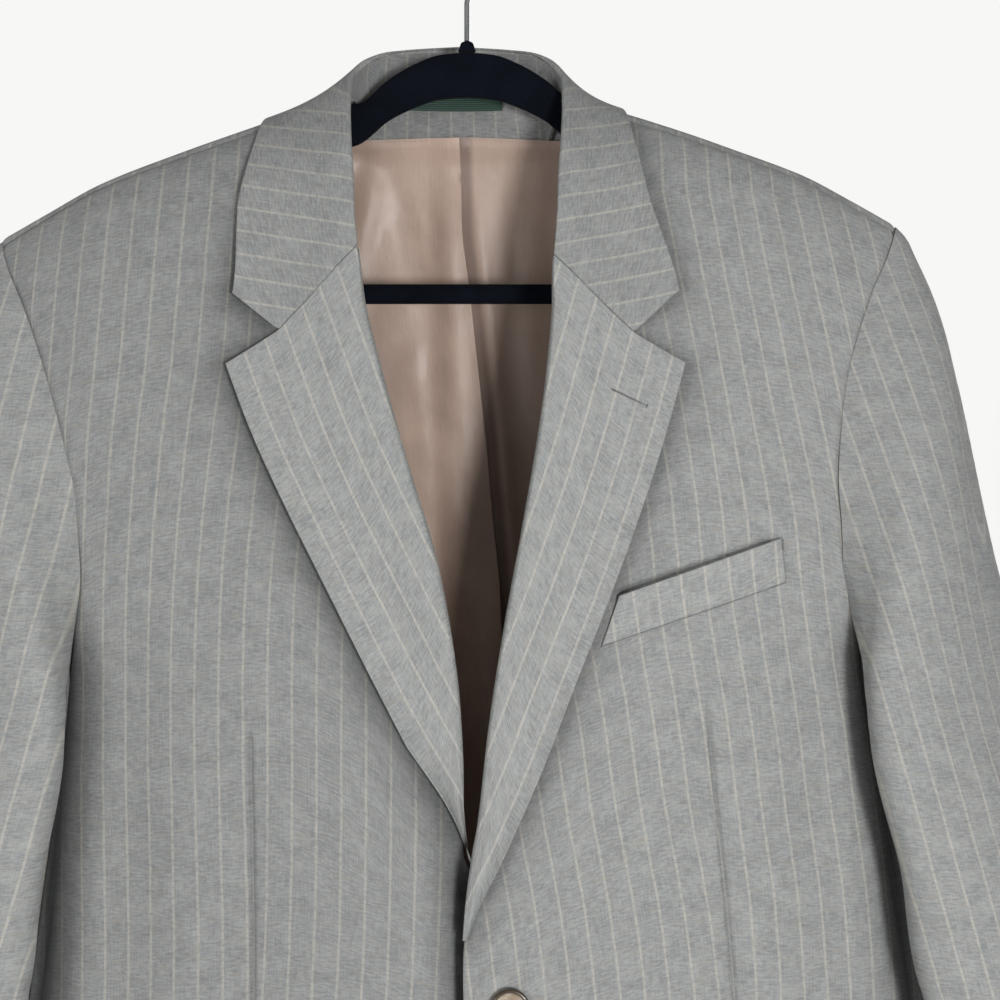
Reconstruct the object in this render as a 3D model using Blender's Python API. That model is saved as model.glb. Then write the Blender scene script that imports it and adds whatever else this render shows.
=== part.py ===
"""A single-breasted, two-button blazer hanging on a slim hanger, at its real size.

The cloth is worked out in millimetres in the garment's own frame: x runs across from the
centre line, y from the front to the back, and z up from the rod that the hook hangs on.
One surface carries every panel. Below the armholes it is a stack of rounded sections, and
above them it rises over the shoulders as an arch. A point on the arch has a turn: 0 degrees
low on the chest, 90 on the shoulder's ridge and 180 low on the back.
"""

import math
from collections import namedtuple

import bmesh
import bpy
import numpy as np

MM = 0.001

# ---------------------------------------------------------------- driving sizes, in mm
SEAM = 0.3
PATCH_GAP = 0.8
WOOL = 2.0
LEAF = 1.6
LINING = 1.0

CHEST_Z = -405.0
HEM_Z = -880.0
SIDE_FULLNESS = 2.6
FRONT_ARCH = 2.2
BACK_ARCH = 2.6
SIDE_SEAM_SHARE = 0.975
SIDE_SHARE = (1.0 - SIDE_SEAM_SHARE**SIDE_FULLNESS) ** (1.0 / SIDE_FULLNESS)
UNDERARM_DROP = 19.0
UNDERARM_FADE = 65.0

SHOULDER_SEAM_TURN = 80.0
NECK_HALF_WIDTH = 64.0
NECK_MIDDLE_Y = -16.0
BACK_NECK_TURN = 116.0
GORGE_TURN = 41.0
STAND_TURN = 70.0
FACING_ROW = 62.8

CUT_AWAY_TOP = -715.0
CUT_AWAY_WIDTH = 104.0
BREAK_Z = -549.0
UNDER_BREAK_Z = -520.0
UNDER_DIP = 12.0
ROLL_ROOM = 2.2

BUTTON_X = 19.0
BUTTON_RADIUS = 10.4
BUTTON_THICK = 3.6
BUTTON_ZS = (-583.6, -690.0)

LEFT_DROOP = 8.0
SHOULDER_SHIFT = 5.0
COLLAR_LEAN = 3.5

ARM_THICK = 6.0
ARM_REACH = 212.0
BAR_Z = -206.3
BAR_HEIGHT = 11.0
BAR_THICK = 7.0
BAR_END_GAP = 2.9
WIRE_RADIUS = 1.5
HOOK_INNER_RADIUS = 18.0
NUB_TOP = -66.7

# ---------------------------------------------------------------- tables, in mm
Section = namedtuple("Section", "z half_width middle front back")
SECTIONS = (
    Section(-880, 270.0, 10, 76, 44),
    Section(-800, 267.0, 11, 76, 41),
    Section(-700, 261.0, 12, 75, 37),
    Section(-640, 257.0, 13, 74, 34),
    Section(-583, 252.0, 14, 74, 32),
    Section(-544, 246.0, 14, 73, 31),
    Section(-493, 237.0, 14, 73, 32),
    Section(-440, 227.0, 12, 73, 34),
    Section(-405, 222.0, 10, 72, 37),
    Section(-385, 230.0, 9, 71, 40),
    Section(-350, 244.0, 7, 69, 43),
    Section(-300, 252.0, 5, 67, 45),
    Section(-200, 262.0, 4, 66, 45),
    Section(-60, 265.0, 4, 66, 45),
)

Ridge = namedtuple("Ridge", "x z")
SHOULDER_RIDGE = (
    Ridge(0, -86.0),
    Ridge(50, -92.0),
    Ridge(75, -101.0),
    Ridge(108, -111.0),
    Ridge(150, -124.0),
    Ridge(193, -139.0),
    Ridge(221, -153.5),
    Ridge(249, -169.0),
)

Drift = namedtuple("Drift", "z x")
CENTRE_DRIFT = (
    Drift(-880, 8.0),
    Drift(-700, 5.5),
    Drift(-583, 4.5),
    Drift(-440, 0.5),
    Drift(-320, -3.0),
    Drift(-200, -5.0),
    Drift(-60, -5.5),
)

Armhole = namedtuple("Armhole", "z front_x back_x")
ARMHOLE = (
    Armhole(-405, 216.4, 216.4),
    Armhole(-380, 208.5, 213.0),
    Armhole(-350, 203.5, 211.0),
    Armhole(-315, 203.5, 211.5),
    Armhole(-285, 207.5, 215.0),
    Armhole(-256, 213.5, 220.0),
    Armhole(-233, 220.5, 226.0),
    Armhole(-206, 231.0, 234.5),
    Armhole(-186, 241.0, 242.0),
    Armhole(-169, 248.0, 248.0),
)

Edge = namedtuple("Edge", "z x")
OVER_EDGE = (
    Edge(-715, -5.0),
    Edge(-640, -5.0),
    Edge(-583, -4.0),
    Edge(-560, -2.5),
    Edge(-541, 0.8),
    Edge(-491, 8.4),
    Edge(-434, 15.6),
    Edge(-382, 24.4),
    Edge(-336, 33.0),
    Edge(-268, 44.0),
    Edge(-231, 48.5),
    Edge(-193, 51.7),
    Edge(-160, 54.5),
    Edge(-135, 57.0),
    Edge(-113, 60.0),
    Edge(-100, 64.0),
)
UNDER_EDGE = (
    Edge(-715, -43.0),
    Edge(-640, -43.0),
    Edge(-583, -41.0),
    Edge(-560, -36.0),
    Edge(-535, -23.0),
    Edge(-508, -6.5),
    Edge(-490, -4.5),
    Edge(-455, -2.5),
    Edge(-424, -0.5),
    Edge(-361, 8.4),
    Edge(-304, 25.0),
    Edge(-257, 37.0),
    Edge(-193, 49.5),
    Edge(-160, 54.5),
    Edge(-135, 57.0),
    Edge(-113, 60.0),
    Edge(-100, 64.0),
)
OVER_LAPEL_EDGE = (
    Edge(-549, -0.2),
    Edge(-540, 3.0),
    Edge(-524, 10.5),
    Edge(-506, 20.0),
    Edge(-460, 41.5),
    Edge(-414, 60.5),
    Edge(-368, 80.0),
    Edge(-320, 97.5),
    Edge(-282, 109.0),
    Edge(-249, 119.0),
)
UNDER_LAPEL_EDGE = (
    Edge(-520, -12.2),
    Edge(-508, -4.6),
    Edge(-478, 15.0),
    Edge(-445, 31.0),
    Edge(-409, 47.5),
    Edge(-358, 72.0),
    Edge(-320, 90.0),
    Edge(-282, 105.5),
    Edge(-248, 117.5),
)

Corner = namedtuple("Corner", "x z")
GORGE = Corner(51.7, -192.5)
NOTCH = Corner(93.0, -232.5)
COLLAR_CORNER = Corner(116.5, -211.0)
NOTCH_SHARE = 0.64

Collar = namedtuple("Collar", "turn fold_x fold_y fold_z edge_x edge_turn")
COLLAR = (
    Collar(116, 0.0, 31.0, -64.0, 0.0, 119.0),
    Collar(112, 22.0, 29.5, -65.0, 38.0, 117.5),
    Collar(105, 42.0, 22.0, -68.5, 68.0, 113.0),
    Collar(95, 55.0, 10.0, -76.5, 92.0, 103.0),
    Collar(85, 60.0, -4.0, -88.0, 98.0, 86.0),
    Collar(75, 59.5, -19.5, -105.0, 101.5, 72.0),
    Collar(65, 57.5, -30.5, -124.0, 104.5, 61.5),
    Collar(55, 55.5, -40.5, -147.0, 108.5, 52.5),
    Collar(48, 54.0, -46.5, -167.0, 112.5, 46.0),
    Collar(41, 51.7, -52.0, -192.5, 116.5, 39.9),
)

CAP_STEPS = 7
SLEEVE_ZS = (-440, -480, -520, -555, -590, -630, -680, -740, -797)

Sleeve = namedtuple("Sleeve", "z inner_x outer_x middle_y half_flat half_thick tilt")
SLEEVE = (
    Sleeve(-440, 212, 320, -18, 68, 27, 9),
    Sleeve(-500, 223, 338, -22, 68, 28, 10),
    Sleeve(-580, 235, 355, -27, 67, 30, 11),
    Sleeve(-660, 249, 370, -31, 66, 30, 11),
    Sleeve(-740, 262, 382, -33, 64, 28, 11),
    Sleeve(-797, 269, 390, -34, 63, 24, 11),
)

# A crease is a soft trough, or a ridge where its depth is negative, on one face of the body.
Crease = namedtuple("Crease", "face x1 z1 x2 z2 width depth")
CREASES = (
    Crease("front", -113, -442, -117, -690, 7, 1.2),
    Crease("front", 127, -430, 144, -690, 7, 1.2),
    Crease("front", 182, -360, 186, -560, 16, 3.0),
    Crease("front", 160, -470, 172, -820, 20, -3.0),
    Crease("front", -178, -380, -182, -600, 15, 3.0),
    Crease("front", -150, -500, -168, -860, 22, -3.0),
    Crease("front", 80, -650, 96, -870, 32, 2.4),
    Crease("front", -74, -640, -88, -870, 30, 2.4),
    Crease("back", 118, -300, 128, -860, 30, 4.0),
    Crease("back", -112, -320, -134, -860, 28, 4.0),
    Crease("back", 170, -360, 160, -640, 18, -4.0),
    Crease("back", -172, -350, -156, -600, 20, -4.0),
    Crease("back", 40, -560, 52, -870, 26, -3.0),
    Crease("back", -34, -600, -60, -870, 24, -3.0),
)

SleeveFold = namedtuple("SleeveFold", "along around_deg length width depth")
SLEEVE_FOLDS = (
    SleeveFold(0.42, 40, 0.05, 60, 4.0),
    SleeveFold(0.52, 20, 0.04, 70, -3.0),
    SleeveFold(0.58, -20, 0.04, 60, 3.5),
    SleeveFold(0.50, -150, 0.05, 70, 4.0),
    SleeveFold(0.74, 10, 0.05, 60, 2.5),
)

Arm = namedtuple("Arm", "x top bottom")
HANGER_NECK = (
    Arm(0, -72.8, -101.5),
    Arm(15, -74.3, -101.5),
    Arm(28, -79.0, -102.8),
    Arm(44, -88.5, -111.0),
    Arm(52, -95.8, -118.0),
    Arm(58, -102.0, -123.0),
    Arm(64, -108.0, -128.0),
)

WELT_TOP = (Corner(81.5, -369.6), Corner(168.4, -339.7))
WELT_BOTTOM = (Corner(71.5, -396.3), Corner(170.5, -363.6))
FLAP_TOP = -694.0
FLAP_BOTTOM = -748.0
FLAP_INNER = 64.0
FLAP_OUTER = 208.0
LABEL_X = (-28.0, 25.0)
LABEL_Z = (-76.0, -97.0)
PLEAT_EDGE = (
    Edge(-860, 20.0),
    Edge(-600, 21.0),
    Edge(-378, 22.0),
    Edge(-196, 16.0),
    Edge(-140, 5.5),
    Edge(-100, 3.0),
)

HEM_ROWS = (-880, -874, -856, -825, -785, -745, -715, -670, -625, -583, -545, -508)
WAIST_ROWS = (-480, -445, -405)
ARCH_TURNS = (10, 18, 26, 35, 44, 53, 62, 70, 76, 80)
BACK_TURNS = (12, 24, 34, 44, 54, 62, 66, 72, 80, 88, 94, 99.4)
LINING_ROWS = len(HEM_ROWS) + len(WAIST_ROWS) + 6


# ---------------------------------------------------------------- smooth curves
def smooth_step(value):
    """Ease from 0 to 1 as value does."""
    share = np.clip(value, 0.0, 1.0)
    return share * share * (3.0 - 2.0 * share)


def curve(rows, key, column):
    """Return a smooth function through one column of a table, with no overshoot."""
    ordered = sorted(rows, key=lambda row: getattr(row, key))
    xs = np.array([getattr(row, key) for row in ordered], dtype=float)
    ys = np.array([getattr(row, column) for row in ordered], dtype=float)
    steps = np.diff(xs)
    slopes = np.diff(ys) / steps
    tangents = np.zeros_like(ys)
    tangents[0] = slopes[0]
    tangents[-1] = slopes[-1]
    for i in range(1, len(xs) - 1):
        if slopes[i - 1] * slopes[i] > 0:
            tangents[i] = 2.0 * slopes[i - 1] * slopes[i] / (slopes[i - 1] + slopes[i])

    def value(at):
        at = np.clip(np.asarray(at, dtype=float), xs[0], xs[-1])
        index = np.clip(np.searchsorted(xs, at) - 1, 0, len(steps) - 1)
        step = steps[index]
        t = (at - xs[index]) / step
        near = ys[index] * (2 * t**3 - 3 * t**2 + 1) + ys[index + 1] * (3 * t**2 - 2 * t**3)
        bend = tangents[index] * (t**3 - 2 * t**2 + t) + tangents[index + 1] * (t**3 - t**2)
        return near + bend * step

    return value


half_width_at = curve(SECTIONS, "z", "half_width")
middle_at = curve(SECTIONS, "z", "middle")
front_depth_at = curve(SECTIONS, "z", "front")
back_depth_at = curve(SECTIONS, "z", "back")
ridge_at = curve(SHOULDER_RIDGE, "x", "z")
drift_at = curve(CENTRE_DRIFT, "z", "x")
armhole_front_at = curve(ARMHOLE, "z", "front_x")
armhole_back_at = curve(ARMHOLE, "z", "back_x")
over_edge_at = curve(OVER_EDGE, "z", "x")
under_edge_at = curve(UNDER_EDGE, "z", "x")
pleat_edge_at = curve(PLEAT_EDGE, "z", "x")


def unit(vectors):
    """Scale vectors to length one."""
    return vectors / np.linalg.norm(vectors, axis=-1, keepdims=True)


def to_world(points):
    """Let the garment hang: its centre drifts and one shoulder sits a little low."""
    placed = np.array(points, dtype=float)
    x = placed[..., 0].copy()
    sideways = smooth_step((np.abs(x) - 115.0) / 80.0) * smooth_step((placed[..., 2] + 350.0) / 110.0)
    placed[..., 0] += drift_at(placed[..., 2]) - SHOULDER_SHIFT * sideways
    placed[..., 2] -= LEFT_DROOP * smooth_step((-x - 60.0) / 190.0)
    return placed * MM


# ---------------------------------------------------------------- the body's surface
def crease_depth(face, x, z):
    """Return how far the creases of one face push the cloth inward."""
    total = np.zeros(np.broadcast(x, z).shape)
    for crease in CREASES:
        if crease.face != face:
            continue
        run_x = crease.x2 - crease.x1
        run_z = crease.z2 - crease.z1
        along = ((x - crease.x1) * run_x + (z - crease.z1) * run_z) / (run_x**2 + run_z**2)
        near = np.clip(along, 0.0, 1.0)
        away = np.hypot(x - crease.x1 - near * run_x, z - crease.z1 - near * run_z)
        taper = np.sin(np.pi * np.clip(0.12 + 0.76 * near, 0, 1)) ** 0.7
        total = total + crease.depth * taper * np.exp(-((away / crease.width) ** 2))
    return total


def row_of_height(x, z, face):
    """Return the row of a point: millimetres below the chest if negative, else degrees."""
    power = FRONT_ARCH if face == "front" else BACK_ARCH
    rise = np.clip((z - CHEST_Z) / (ridge_at(np.abs(x)) - CHEST_Z), 0.0, 1.0)
    turn = np.degrees(np.arcsin(rise ** (power / 2.0)))
    return np.where(z < CHEST_Z, z - CHEST_Z, turn)


def under_dip(x, z):
    """Return how far the under front tucks in behind the over front."""
    return UNDER_DIP * smooth_step((x + 30.0) / 30.0) * smooth_step((-395.0 - z) / 90.0)


def body(x, row, face, under=False):
    """Return points of the body's outer cloth on one face."""
    x = np.asarray(x, dtype=float)
    row = np.asarray(row, dtype=float)
    x, row = np.broadcast_arrays(x, row)
    over_ridge = (row > 90.0) & (face == "back")
    power = np.where(over_ridge | (face == "front"), FRONT_ARCH, BACK_ARCH)
    angle = np.radians(np.clip(np.where(over_ridge, 180.0 - row, row), 0.0, 90.0))
    rise = np.sin(angle) ** (2.0 / power)
    reach = np.clip(np.cos(angle), 0.0, 1.0) ** (2.0 / power)
    top = ridge_at(np.abs(x))
    z = np.where(row < 0, CHEST_Z + row, CHEST_Z + (top - CHEST_Z) * rise)
    share = np.clip(np.abs(x) / half_width_at(z), 0.0, 1.0)
    side = (1.0 - share**SIDE_FULLNESS) ** (1.0 / SIDE_FULLNESS)
    front_y = middle_at(z) - front_depth_at(z) * side * reach + crease_depth("front", x, z)
    back_y = middle_at(z) + back_depth_at(z) * side * reach - crease_depth("back", x, z) * reach
    if under:
        front_y = front_y + under_dip(x, z)
    y = np.where(over_ridge | (face == "front"), front_y, back_y)
    return np.stack([x, y, z], axis=-1)


def body_normal(x, row, face, under=False):
    """Return the outward direction at points of the body."""
    dx = 0.5
    dr = 0.2
    across = body(x + dx, row, face, under) - body(x - dx, row, face, under)
    along = body(x, row + dr, face, under) - body(x, row - dr, face, under)
    normal = unit(np.cross(across, along))
    return normal if face == "front" else -normal


def on_body(x, z, face, offset, under=False):
    """Return points at (x, z) moved out from the body's cloth by an offset."""
    row = row_of_height(x, z, face)
    return body(x, row, face, under) + body_normal(x, row, face, under) * np.asarray(offset)[..., None]


def over_shoulder(x, turn, offset):
    """Return points moved out from the body, for turns that may cross the ridge."""
    behind = np.asarray(turn) > 90.0
    back_row = np.where(behind, 180.0 - turn, 45.0)
    front_row = np.where(behind, 45.0, turn)
    back = body(x, back_row, "back") + body_normal(x, back_row, "back") * offset
    front = body(x, front_row, "front") + body_normal(x, front_row, "front") * offset
    return np.where(behind[..., None], back, front)


def side_point(share, z, side):
    """Return points round the side, where share runs from the back to the front."""
    half = half_width_at(z)
    depth = np.where(share > 0, front_depth_at(z), back_depth_at(z))
    x = half * (1.0 - np.abs(share) ** SIDE_FULLNESS) ** (1.0 / SIDE_FULLNESS)
    y = middle_at(z) - depth * share
    x = x * side
    push = np.where(share > 0, crease_depth("front", x, z), -crease_depth("back", x, z))
    return np.stack([x, y + push * np.minimum(1.0, np.abs(share) / SIDE_SHARE), z], axis=-1)


# ---------------------------------------------------------------- meshes and materials
def make_material(name, colour, roughness, metallic=0.0):
    """Return a plain Principled material."""
    material = bpy.data.materials.new(name)
    material.use_nodes = True
    shader = material.node_tree.nodes["Principled BSDF"]
    shader.inputs["Base Color"].default_value = (*colour, 1.0)
    shader.inputs["Roughness"].default_value = roughness
    shader.inputs["Metallic"].default_value = metallic
    material.diffuse_color = (*colour, 1.0)
    return material


def add_object(name, points, faces, material):
    """Add one closed mesh, facing out, from points in metres."""
    mesh = bpy.data.meshes.new(name)
    mesh.from_pydata([tuple(point) for point in points], [], faces)
    built = bmesh.new()
    built.from_mesh(mesh)
    bmesh.ops.recalc_face_normals(built, faces=built.faces)
    if built.calc_volume(signed=True) < 0:
        bmesh.ops.reverse_faces(built, faces=built.faces)
    built.to_mesh(mesh)
    built.free()
    mesh.shade_smooth()
    mesh.set_sharp_from_angle(angle=math.radians(40))
    mesh.materials.append(material)
    thing = bpy.data.objects.new(name, mesh)
    bpy.context.scene.collection.objects.link(thing)
    return thing


def shell_faces(rows, columns, wrap):
    """Return the faces of a wall with two skins and a rim round every open edge."""
    skin = rows * columns
    faces = []
    last = columns if wrap else columns - 1
    for r in range(rows - 1):
        for c in range(last):
            a = r * columns + c
            b = r * columns + (c + 1) % columns
            faces.append((a, b, b + columns, a + columns))
            faces.append((skin + a, skin + a + columns, skin + b + columns, skin + b))
    for c in range(last):
        for r in (0, rows - 1):
            a = r * columns + c
            b = r * columns + (c + 1) % columns
            faces.append((a, b, skin + b, skin + a))
    if not wrap:
        for r in range(rows - 1):
            for c in (0, columns - 1):
                a = r * columns + c
                faces.append((a, a + columns, skin + a + columns, skin + a))
    return faces


def add_wall(name, outer, normals, thickness, material, wrap=False):
    """Add a cloth wall from its outer points, its outward directions and its thickness."""
    inner = outer - normals * thickness
    rows, columns = outer.shape[:2]
    points = np.concatenate([outer.reshape(-1, 3), inner.reshape(-1, 3)])
    return add_object(name, to_world(points), shell_faces(rows, columns, wrap), material)


def grid_normals(points, toward):
    """Return the directions across a grid of points, all on the side of one direction."""
    across = np.gradient(points, axis=1)
    along = np.gradient(points, axis=0)
    normals = unit(np.cross(across, along))
    sense = np.sign(np.sum(normals * toward, axis=-1, keepdims=True))
    return normals * np.where(sense == 0, 1.0, sense)


# ---------------------------------------------------------------- fronts, sides and backs
def all_rows(turns):
    """Return the rows of a panel from the hem up."""
    below = [z - CHEST_Z for z in HEM_ROWS + WAIST_ROWS]
    return np.array(below + list(turns), dtype=float)


def cut_away(z, edge):
    """Return where the front edge lies, with its rounded cut at the hem."""
    drop = np.clip((CUT_AWAY_TOP - z) / (CUT_AWAY_TOP - HEM_Z + 1.0), 0.0, 1.0)
    return edge(z) + CUT_AWAY_WIDTH * (1.0 - np.sqrt(1.0 - drop**2))


def settle(edge, row, face, side):
    """Return x on an edge that is given by height, for rows that climb with x."""
    x = np.full(row.shape, 120.0)
    for _ in range(12):
        x = edge(body(side * x, row, face)[..., 2])
    return x


def roll_room(row):
    """Return how far a front's inner edge keeps back from the rolled edge of its lapel."""
    z = CHEST_Z + np.minimum(row, 0.0)
    above_break = smooth_step((z + 560.0) / 50.0)
    below_neck = smooth_step((GORGE_TURN - row) / 8.0)
    return SEAM + (ROLL_ROOM + 0.7) * above_break * below_neck


def add_front(name, side, edge, material, columns=13):
    """Add one front, from its closing edge and lapel roll to the side seam and armhole."""
    row = all_rows(ARCH_TURNS)
    under = side < 0
    start = settle(lambda z: cut_away(z, edge), row, "front", side) + roll_room(row)
    seam = SIDE_SEAM_SHARE * half_width_at(CHEST_Z + np.minimum(row, 0.0)) - SEAM
    end = np.where(row <= 0, seam, settle(armhole_front_at, row, "front", side) - SEAM)
    share = np.linspace(0.0, 1.0, columns)[None, :] ** 1.4
    x = side * (start[:, None] + (end - start)[:, None] * share)
    rows = np.broadcast_to(row[:, None], x.shape)
    outer = body(x, rows, "front", under)
    return add_wall(name, outer, body_normal(x, rows, "front", under), WOOL, material)


def back_neck_x(turn):
    """Return half the neck's width at a turn of the arch."""
    span = BACK_NECK_TURN - SHOULDER_SEAM_TURN
    share = np.clip((turn - SHOULDER_SEAM_TURN) / span, 0.0, 1.0)
    return NECK_HALF_WIDTH * np.sqrt(1.0 - share**2)


def back_grid(side, columns=9):
    """Return x and row across one back, from its centre seam to its side seam and armhole."""
    row = all_rows(BACK_TURNS)
    start = np.where(row < 180.0 - BACK_NECK_TURN, 0.0, back_neck_x(180.0 - row)) + SEAM
    seam = SIDE_SEAM_SHARE * half_width_at(CHEST_Z + np.minimum(row, 0.0)) - SEAM
    end = np.where(row <= 0, seam, settle(armhole_back_at, row, "back", side) - SEAM)
    share = 1.0 - (1.0 - np.linspace(0.0, 1.0, columns)[None, :]) ** 1.35
    x = side * (start[:, None] + (end - start)[:, None] * share)
    return x, np.broadcast_to(row[:, None], x.shape)


def add_back(name, side, material):
    """Add one back."""
    x, rows = back_grid(side)
    return add_wall(name, body(x, rows, "back"), body_normal(x, rows, "back"), WOOL, material)


def side_grid(side, columns=7):
    """Return the points of a side panel, with its top scooped out under the arm."""
    z = np.array(HEM_ROWS + WAIST_ROWS, dtype=float)[:, None]
    limit = SIDE_SHARE - 0.004
    share = np.linspace(-limit, limit, columns)[None, :]
    scoop = UNDERARM_DROP * (1.0 - (share / limit) ** 2)
    height = z - scoop * smooth_step((z - CHEST_Z + UNDERARM_FADE) / UNDERARM_FADE)
    share = np.broadcast_to(share, height.shape)
    return side_point(share, height, side)


def add_side(name, side, material):
    """Add one side panel."""
    outer = side_grid(side)
    normals = grid_normals(outer, np.array([side, 0.0, 0.0]))
    return add_wall(name, outer, normals, WOOL, material)


# ---------------------------------------------------------------- lapels and collar
def notch_line(share, start, end):
    """Return (x, z) along a leaf's end, straight from its start to the notch and on to its end."""
    x = np.interp(share, (0.0, NOTCH_SHARE, 1.0), (start.x, NOTCH.x, end.x))
    z = np.interp(share, (0.0, NOTCH_SHARE, 1.0), (start.z, NOTCH.z, end.z))
    return x, z


def turned_leaf(lowest, gorge, tip, edge_curve, roll_curve, rows, columns):
    """Return (x, z) across a lapel, from its roll line to its outer edge."""
    share = np.linspace(0.0, 1.0, columns)[None, :]
    down = np.linspace(0.0, 1.0, rows)[:, None]
    roll_z = gorge.z + (lowest - gorge.z) * down
    edge_z = tip.z + (lowest + 0.5 - tip.z) * down
    x = roll_curve(roll_z) * (1.0 - share) + edge_curve(edge_z) * share
    z = roll_z * (1.0 - share) + edge_z * share
    top_x, top_z = notch_line(share, gorge, tip)
    fade = np.clip(1.0 - down / 0.2, 0.0, 1.0) ** 2
    x = x + (top_x - x[0:1]) * fade
    z = z + (top_z - z[0:1]) * fade
    return x, z


def leaf_lift(share):
    """Return how far a turned leaf's face stands off the panel that it lies on."""
    return 2.6 + 3.2 * np.exp(-((share - 0.1) / 0.22) ** 2)


def add_lapel(name, side, lowest, edge_rows, roll_curve, material, rows=14, columns=7):
    """Add one lapel, laid on its front and rolled at the edge."""
    edge_curve = curve(edge_rows, "z", "x")
    top = max(row.z for row in edge_rows)
    tip = Corner(float(edge_curve(top)), top)
    gorge = Corner(float(roll_curve(GORGE.z)), GORGE.z)
    x, z = turned_leaf(lowest, gorge, tip, edge_curve, roll_curve, rows, columns)
    z = z - 4.0 * SEAM
    share = np.broadcast_to(np.linspace(0.0, 1.0, columns)[None, :], x.shape)
    under = side < 0
    narrow = smooth_step((z[:, :1] - lowest) / 40.0)
    x = x + ROLL_ROOM * (1.0 - share) ** 3 * narrow * smooth_step((-196.0 - z[:, :1]) / 30.0)
    face = on_body(side * x, z, "front", leaf_lift(share) * (0.9 + 0.1 * narrow), under)
    roll = on_body(side * (x[:, :1] - 1.6), z[:, :1], "front", 2.6 - 0.3 * narrow, under)
    tuck = on_body(side * (x[:, :1] - 1.9), z[:, :1], "front", 0.8 - 1.2 * narrow, under)
    outer = np.concatenate([tuck, roll, face], axis=1)
    normals = grid_normals(outer, np.array([0.0, -1.0, 0.0]))
    normals[:, 0] = unit(np.array([-side, -0.1, 0.0]))
    return add_wall(name, outer, normals, LEAF, material)


def collar_lines(steps):
    """Return the collar's fold line, outer edge and shares from one front to the other."""
    turns = np.concatenate([np.linspace(GORGE_TURN, BACK_NECK_TURN, steps),
                            np.linspace(BACK_NECK_TURN, GORGE_TURN, steps)[1:]])
    side = np.concatenate([-np.ones(steps), np.ones(steps - 1)])
    column = {name: curve(COLLAR, "turn", name)(turns)
              for name in ("fold_x", "fold_y", "fold_z", "edge_x", "edge_turn")}
    fold = np.stack([side * column["fold_x"], column["fold_y"], column["fold_z"]], axis=-1)
    lean = COLLAR_LEAN * smooth_step((turns - GORGE_TURN) / 18.0) * smooth_step((112.0 - turns) / 14.0)
    edge = over_shoulder(side * column["edge_x"] - lean, column["edge_turn"], 2.8)
    return turns, side, fold, edge


def add_collar_fall(name, material, steps=16, columns=7):
    """Add the collar's fall, from its fold to its outer edge, as far as the notches."""
    turns, side, fold, edge = collar_lines(steps)
    share = np.linspace(0.0, 1.0, columns)[None, :, None]
    straight = fold[:, None, :] * (1.0 - share) + edge[:, None, :] * share
    x = straight[..., 0]
    z = straight[..., 2]
    flat = share[..., 0]
    end_x, end_z = notch_line(flat, GORGE, COLLAR_CORNER)
    fade = np.clip(1.0 - (turns - GORGE_TURN) / 16.0, 0.0, 1.0)[:, None] ** 1.6
    x = x + side[:, None] * (end_x - np.abs(x[:1])) * fade
    z = z + (end_z + SEAM - z[:1]) * fade
    laid = on_body(x, z, "front", leaf_lift(np.broadcast_to(flat, x.shape)))
    lying = smooth_step((76.0 - turns) / 18.0)[:, None, None]
    bulge = 3.0 * np.sin(np.pi * flat)
    lift = grid_normals(straight, np.array([0.0, 0.0, 1.0]))
    hung = np.stack([x, straight[..., 1], z], axis=-1) + lift * bulge[..., None]
    outer = hung * (1.0 - lying) + laid * lying
    inward = unit(fold - edge)
    curl = fold + inward * 1.8 - np.array([0.0, 0.0, 0.9])
    outer = np.concatenate([curl[:, None, :], outer], axis=1)
    normals = grid_normals(outer, np.array([0.0, 0.0, 1.0]))
    return add_wall(name, outer, normals, LEAF, material)


def neck_edge(turns, side):
    """Return the neck edge of the panels, from a gorge to the centre back."""
    x = np.where(turns >= SHOULDER_SEAM_TURN, back_neck_x(turns),
                 settle(over_edge_at, np.minimum(turns, SHOULDER_SEAM_TURN), "front", 1.0))
    points = np.where((turns > 90.0)[:, None], body(side * x, 180.0 - turns, "back"),
                      body(side * x, turns, "front"))
    return points


def stand_grid(steps=10):
    """Return the outer face of the stand and its facing, with its outward directions."""
    turns = np.concatenate([np.linspace(STAND_TURN, BACK_NECK_TURN, steps),
                            np.linspace(BACK_NECK_TURN, STAND_TURN, steps)[1:]])
    side = np.concatenate([-np.ones(steps), np.ones(steps - 1)])
    foot = neck_edge(turns, side)
    fold = np.stack([side * curve(COLLAR, "turn", "fold_x")(turns),
                     curve(COLLAR, "turn", "fold_y")(turns),
                     curve(COLLAR, "turn", "fold_z")(turns)], axis=-1)
    inward = (np.array([0.0, NECK_MIDDLE_Y, 0.0]) - fold) * np.array([1.0, 1.0, 0.0])
    inward = unit(inward)
    top = fold + inward * 2.3 - np.array([0.0, 0.0, 3.2])
    bottom = foot + inward * (WOOL + 1.5) + np.array([0.0, 0.0, 0.8])
    low = body(foot[:, 0], np.full(turns.shape, FACING_ROW), "back")
    low = low - body_normal(foot[:, 0], np.full(turns.shape, FACING_ROW), "back") * (WOOL + 1.3)
    facing = smooth_step((turns - 90.0) / 12.0)[:, None]
    low = low * facing + (bottom - np.array([0.0, 0.0, 0.4])) * (1.0 - facing)
    outer = np.array([low, low * 0.5 + bottom * 0.5, bottom, bottom * 0.6 + top * 0.4, top])
    normals = np.broadcast_to(-inward[None], outer.shape)
    return outer, normals


def add_stand(name, material):
    """Add the collar stand, whose inner face shows behind the hanger."""
    outer, normals = stand_grid()
    return add_wall(name, outer, normals, LEAF, material)


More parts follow.
